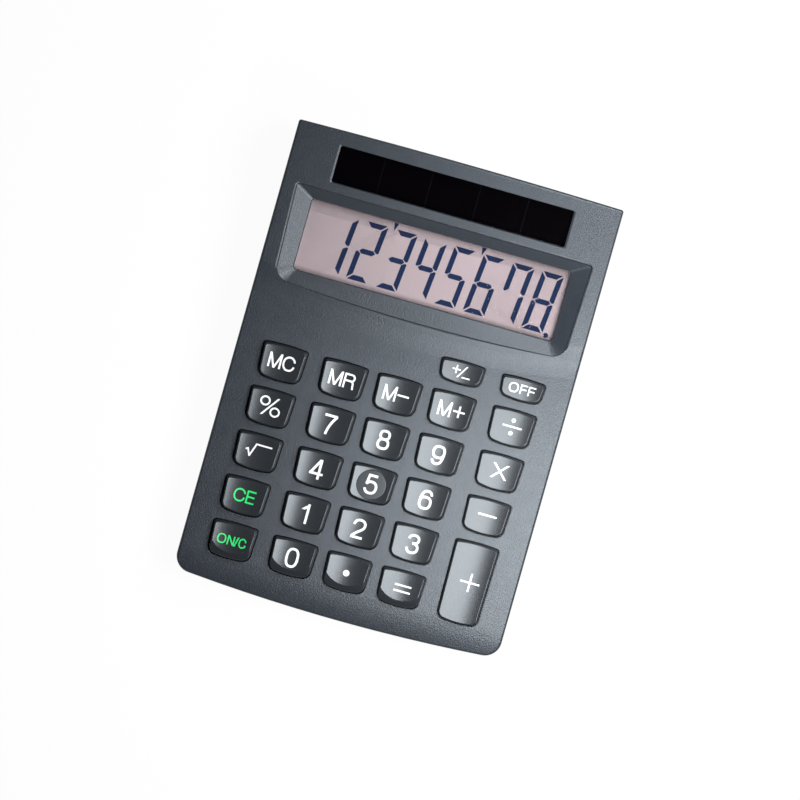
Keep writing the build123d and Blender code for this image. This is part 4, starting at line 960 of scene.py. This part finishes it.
class CALCULATOR_OT_inner(bpy.types.Operator):
    """Finish what lies inside and behind: board, mat, wires, battery and screws."""

    bl_idname = "calculator.inner"
    bl_label = "Inner parts"

    def execute(self, context):
        dress("lcd_holder", plastic("inner_plastic", (0.52, 0.52, 0.49), 0.5, 0.3 * MM, 0.006 * MM))
        dress("lcd_ribbon", self.film())
        dress("rubber_keypad", plastic(
            "mat_rubber", (0.34, 0.36, 0.38), 0.6, 0.2 * MM, 0.006 * MM,
            Subsurface_Weight=0.15, Subsurface_Scale=0.5 * MM,
        ))
        dress("circuit_board", self.board())
        dress("contact_pads", plastic("carbon", (0.02, 0.02, 0.021), 0.7, 0.06 * MM, 0.01 * MM))
        dress("chip_cover", plastic("resin", (0.010, 0.010, 0.011), 0.18, 1.2 * MM, 0.02 * MM))
        for node in ("buffer_capacitor", "voltage_diode", "clock_resistor"):
            dress(node, plastic(node + "_body", (0.03, 0.03, 0.033), 0.4, 0.15 * MM, 0.004 * MM))
        dress("solar_lead_positive", plastic("red_wire", (0.42, 0.012, 0.010), 0.4, 0.15 * MM, 0.003 * MM))
        dress("solar_lead_negative", plastic("black_wire", (0.012, 0.012, 0.013), 0.4, 0.15 * MM, 0.003 * MM))
        steel = self.metal("nickel_steel", (0.60, 0.59, 0.56), 0.28)
        for node in ("button_cell", "case_screws", "board_screws", "holder_screws"):
            dress(node, steel)
        bronze = self.metal("contact_bronze", (0.62, 0.47, 0.25), 0.25)
        for node in ("battery_contact_positive", "battery_contact_negative"):
            dress(node, bronze)
        return {"FINISHED"}

    def metal(self, name, colour, rough):
        """Plated metal with a fine grain, clouds and a few scuffs."""
        finish = Finish(name, Metallic=1.0)
        cloud, _ = grain_into(finish, 0.2 * MM, 0.002 * MM)
        stained = finish.mix(cloud, lighter(colour, 0.86), lighter(colour, 1.08))
        scuffs = finish.mask(hairline_scuffs, Scale=METAL_SCUFFS_PER_METRE)
        finish.colour(finish.mix(scuffs, stained, lighter(colour, 1.3)))
        finish.roughness(cloud, rough * 0.8, rough * 1.3)
        return finish

    def film(self):
        """Amber film with fine printed tracks across it."""
        finish = Finish("film", Roughness=0.3)
        place = maths(finish.tree, "DIVIDE", place_across(finish.tree), TRACK_PITCH)
        track = ramp(finish.tree, maths(finish.tree, "FRACT", place), *TRACK_RAMP)
        cloud, _ = grain_into(finish, 0.3 * MM, 0.002 * MM)
        amber = finish.mix(cloud, (0.50, 0.27, 0.06), (0.62, 0.36, 0.09))
        finish.colour(finish.mix(track, amber, (0.05, 0.045, 0.04)))
        return finish

    def board(self):
        """Green solder mask over glass weave."""
        finish = Finish("board_green")
        cloud, _ = grain_into(finish, 0.4 * MM, 0.006 * MM)
        weave = finish.tree.nodes.new("ShaderNodeTexChecker")
        finish.tree.links.new(own_coordinates(finish.tree), weave.inputs["Vector"])
        weave.inputs["Scale"].default_value = WEAVES_PER_METRE
        mask = finish.mix(weave.outputs["Fac"], (0.012, 0.105, 0.036), (0.016, 0.120, 0.042))
        finish.colour(finish.mix(finish.mask(settled_dust, Amount=0.1), mask, (0.3, 0.34, 0.3)))
        finish.roughness(cloud, 0.28, 0.4)
        return finish


FLOOR_RADIUS = 1.6  # the level part
FLOOR_RINGS = (0.0, 0.5, 1.0, FLOOR_RADIUS)
RIM_RADIUS = 0.8  # of the curve up into the backdrop
RIM_ANGLES = range(10, 81, 10)  # degrees
FLOOR_STEPS = 96
FLOOR_MERGE = 1e-5
FLOOR_GLOW = 0.96  # share of white in what the camera, gloss and glass see of the floor
ROOM_COLOUR = (0.92, 0.96, 1.0, 1)
ROOM_STRENGTH = 0.03
SENSOR_WIDTH = 36  # mm
DECK_HEIGHT = 13 * MM  # the level at which the picture is as wide as set
PICTURE_MIDDLE = (1.19 * MM, -1.94 * MM)
FARTHEST_SEEN = 20


class CALCULATOR_OT_studio(bpy.types.Operator):
    """Set up the floor with its raised rim, the lamps, the dim room and the camera."""

    bl_idname = "calculator.studio"
    bl_label = "Studio"

    def execute(self, context):
        studio = context.scene.calculator_studio
        self.floor()
        self.room()
        self.lamp("key_lamp", studio.key_place, studio.key_size, studio.key_strength)
        self.lamp("rear_lamp", studio.rear_place, studio.rear_size, studio.rear_strength)
        self.camera(context, studio)
        return {"FINISHED"}

    def floor(self):
        """A wide round floor that curves up into a backdrop."""
        profile = [(radius, 0.0) for radius in FLOOR_RINGS]
        for angle in RIM_ANGLES:
            across, rise = RIM_RADIUS * sin(radians(angle)), RIM_RADIUS * cos(radians(angle))
            profile.append((FLOOR_RADIUS + across, RIM_RADIUS - rise))
        form = bmesh.new()
        verts = [form.verts.new((x, 0, z)) for x, z in profile]
        edges = [form.edges.new(pair) for pair in zip(verts, verts[1:])]
        bmesh.ops.spin(
            form, geom=verts + edges, cent=(0, 0, 0), axis=(0, 0, 1), angle=2 * pi, steps=FLOOR_STEPS,
        )
        bmesh.ops.remove_doubles(form, verts=form.verts, dist=FLOOR_MERGE)
        bmesh.ops.recalc_face_normals(form, faces=form.faces)
        mesh = bpy.data.meshes.new("floor")
        form.to_mesh(mesh)
        form.free()
        mesh.shade_smooth()
        floor = new_object("floor", mesh)
        finish = Finish("floor_paper", Roughness=0.9)
        cloud, _ = grain_into(finish, 1.5 * MM, 0.01 * MM)
        finish.colour(finish.mix(cloud, (0.90, 0.90, 0.90), (0.93, 0.93, 0.93)))
        tree = finish.tree
        rays = tree.nodes.new("ShaderNodeLightPath").outputs
        shown = maths(tree, "MAXIMUM", rays["Is Glossy Ray"], rays["Is Transmission Ray"])
        seen = maths(tree, "MAXIMUM", rays["Is Camera Ray"], shown)
        glow = tree.nodes.new("ShaderNodeEmission")
        glow.inputs["Color"].default_value = (1, 1, 1, 1)
        mixer = tree.nodes.new("ShaderNodeMixShader")
        tree.links.new(maths(tree, "MULTIPLY", seen, FLOOR_GLOW), mixer.inputs[0])
        tree.links.new(finish.shader.outputs[0], mixer.inputs[1])
        tree.links.new(glow.outputs[0], mixer.inputs[2])
        tree.links.new(mixer.outputs[0], tree.nodes["Material Output"].inputs["Surface"])
        mesh.materials.append(finish.material)

    def room(self):
        """An even, dim surrounding."""
        world = bpy.data.worlds.new("room")
        world.use_nodes = True
        background = world.node_tree.nodes["Background"]
        background.inputs["Color"].default_value = ROOM_COLOUR
        background.inputs["Strength"].default_value = ROOM_STRENGTH
        bpy.context.scene.world = world

    def lamp(self, name, place, size, strength):
        """A soft rectangular lamp that looks straight down."""
        data = bpy.data.lights.new(name, "AREA")
        data.shape = "RECTANGLE"
        data.size, data.size_y = size
        data.energy = strength * pi * size[0] * size[1]
        new_object(name, data).location = place

    def camera(self, context, studio):
        """A camera that looks straight down."""
        data = bpy.data.cameras.new("camera")
        data.sensor_width = SENSOR_WIDTH
        data.lens = SENSOR_WIDTH * (studio.distance - DECK_HEIGHT) / studio.picture_width
        data.clip_end = FARTHEST_SEEN
        camera = new_object("camera", data)
        camera.location = (*PICTURE_MIDDLE, studio.distance)
        camera.rotation_euler = (0, 0, studio.turn)
        context.scene.camera = camera
        context.scene.view_settings.view_transform = "Standard"


# ---- the add-on's panel and registration ----


class CALCULATOR_PT_panel(bpy.types.Panel):
    """Lists the steps that dress the calculator."""

    bl_idname = "CALCULATOR_PT_panel"
    bl_label = "Calculator"
    bl_space_type = "VIEW_3D"
    bl_region_type = "UI"
    bl_category = "Calculator"

    def draw(self, context):
        for settings in SETTINGS:
            group = getattr(context.scene, settings)
            for name in group.bl_rna.properties.keys():
                if name not in ("rna_type", "name"):
                    self.layout.prop(group, name)
        for operator in OPERATORS:
            self.layout.operator(operator.bl_idname)


SETTINGS = {
    "calculator_case": CaseSettings,
    "calculator_keys": KeySettings,
    "calculator_display": DisplaySettings,
    "calculator_studio": StudioSettings,
}
OPERATORS = (
    CALCULATOR_OT_case, CALCULATOR_OT_keys, CALCULATOR_OT_display, CALCULATOR_OT_solar, CALCULATOR_OT_inner,
    CALCULATOR_OT_studio,
)


def register():
    for group in SETTINGS.values():
        bpy.utils.register_class(group)
    for name, group in SETTINGS.items():
        setattr(bpy.types.Scene, name, PointerProperty(type=group))
    for operator in OPERATORS + (CALCULATOR_PT_panel,):
        bpy.utils.register_class(operator)


def unregister():
    for operator in reversed(OPERATORS + (CALCULATOR_PT_panel,)):
        bpy.utils.unregister_class(operator)
    for name in SETTINGS:
        delattr(bpy.types.Scene, name)
    for group in reversed(list(SETTINGS.values())):
        bpy.utils.unregister_class(group)


def main():
    """Dress the calculator."""
    register()
    bpy.ops.calculator.case()
    bpy.ops.calculator.keys()
    bpy.ops.calculator.display()
    bpy.ops.calculator.solar()
    bpy.ops.calculator.inner()
    bpy.ops.calculator.studio()
    bpy.context.view_layer.update()


if __name__ == "__main__":
    main()
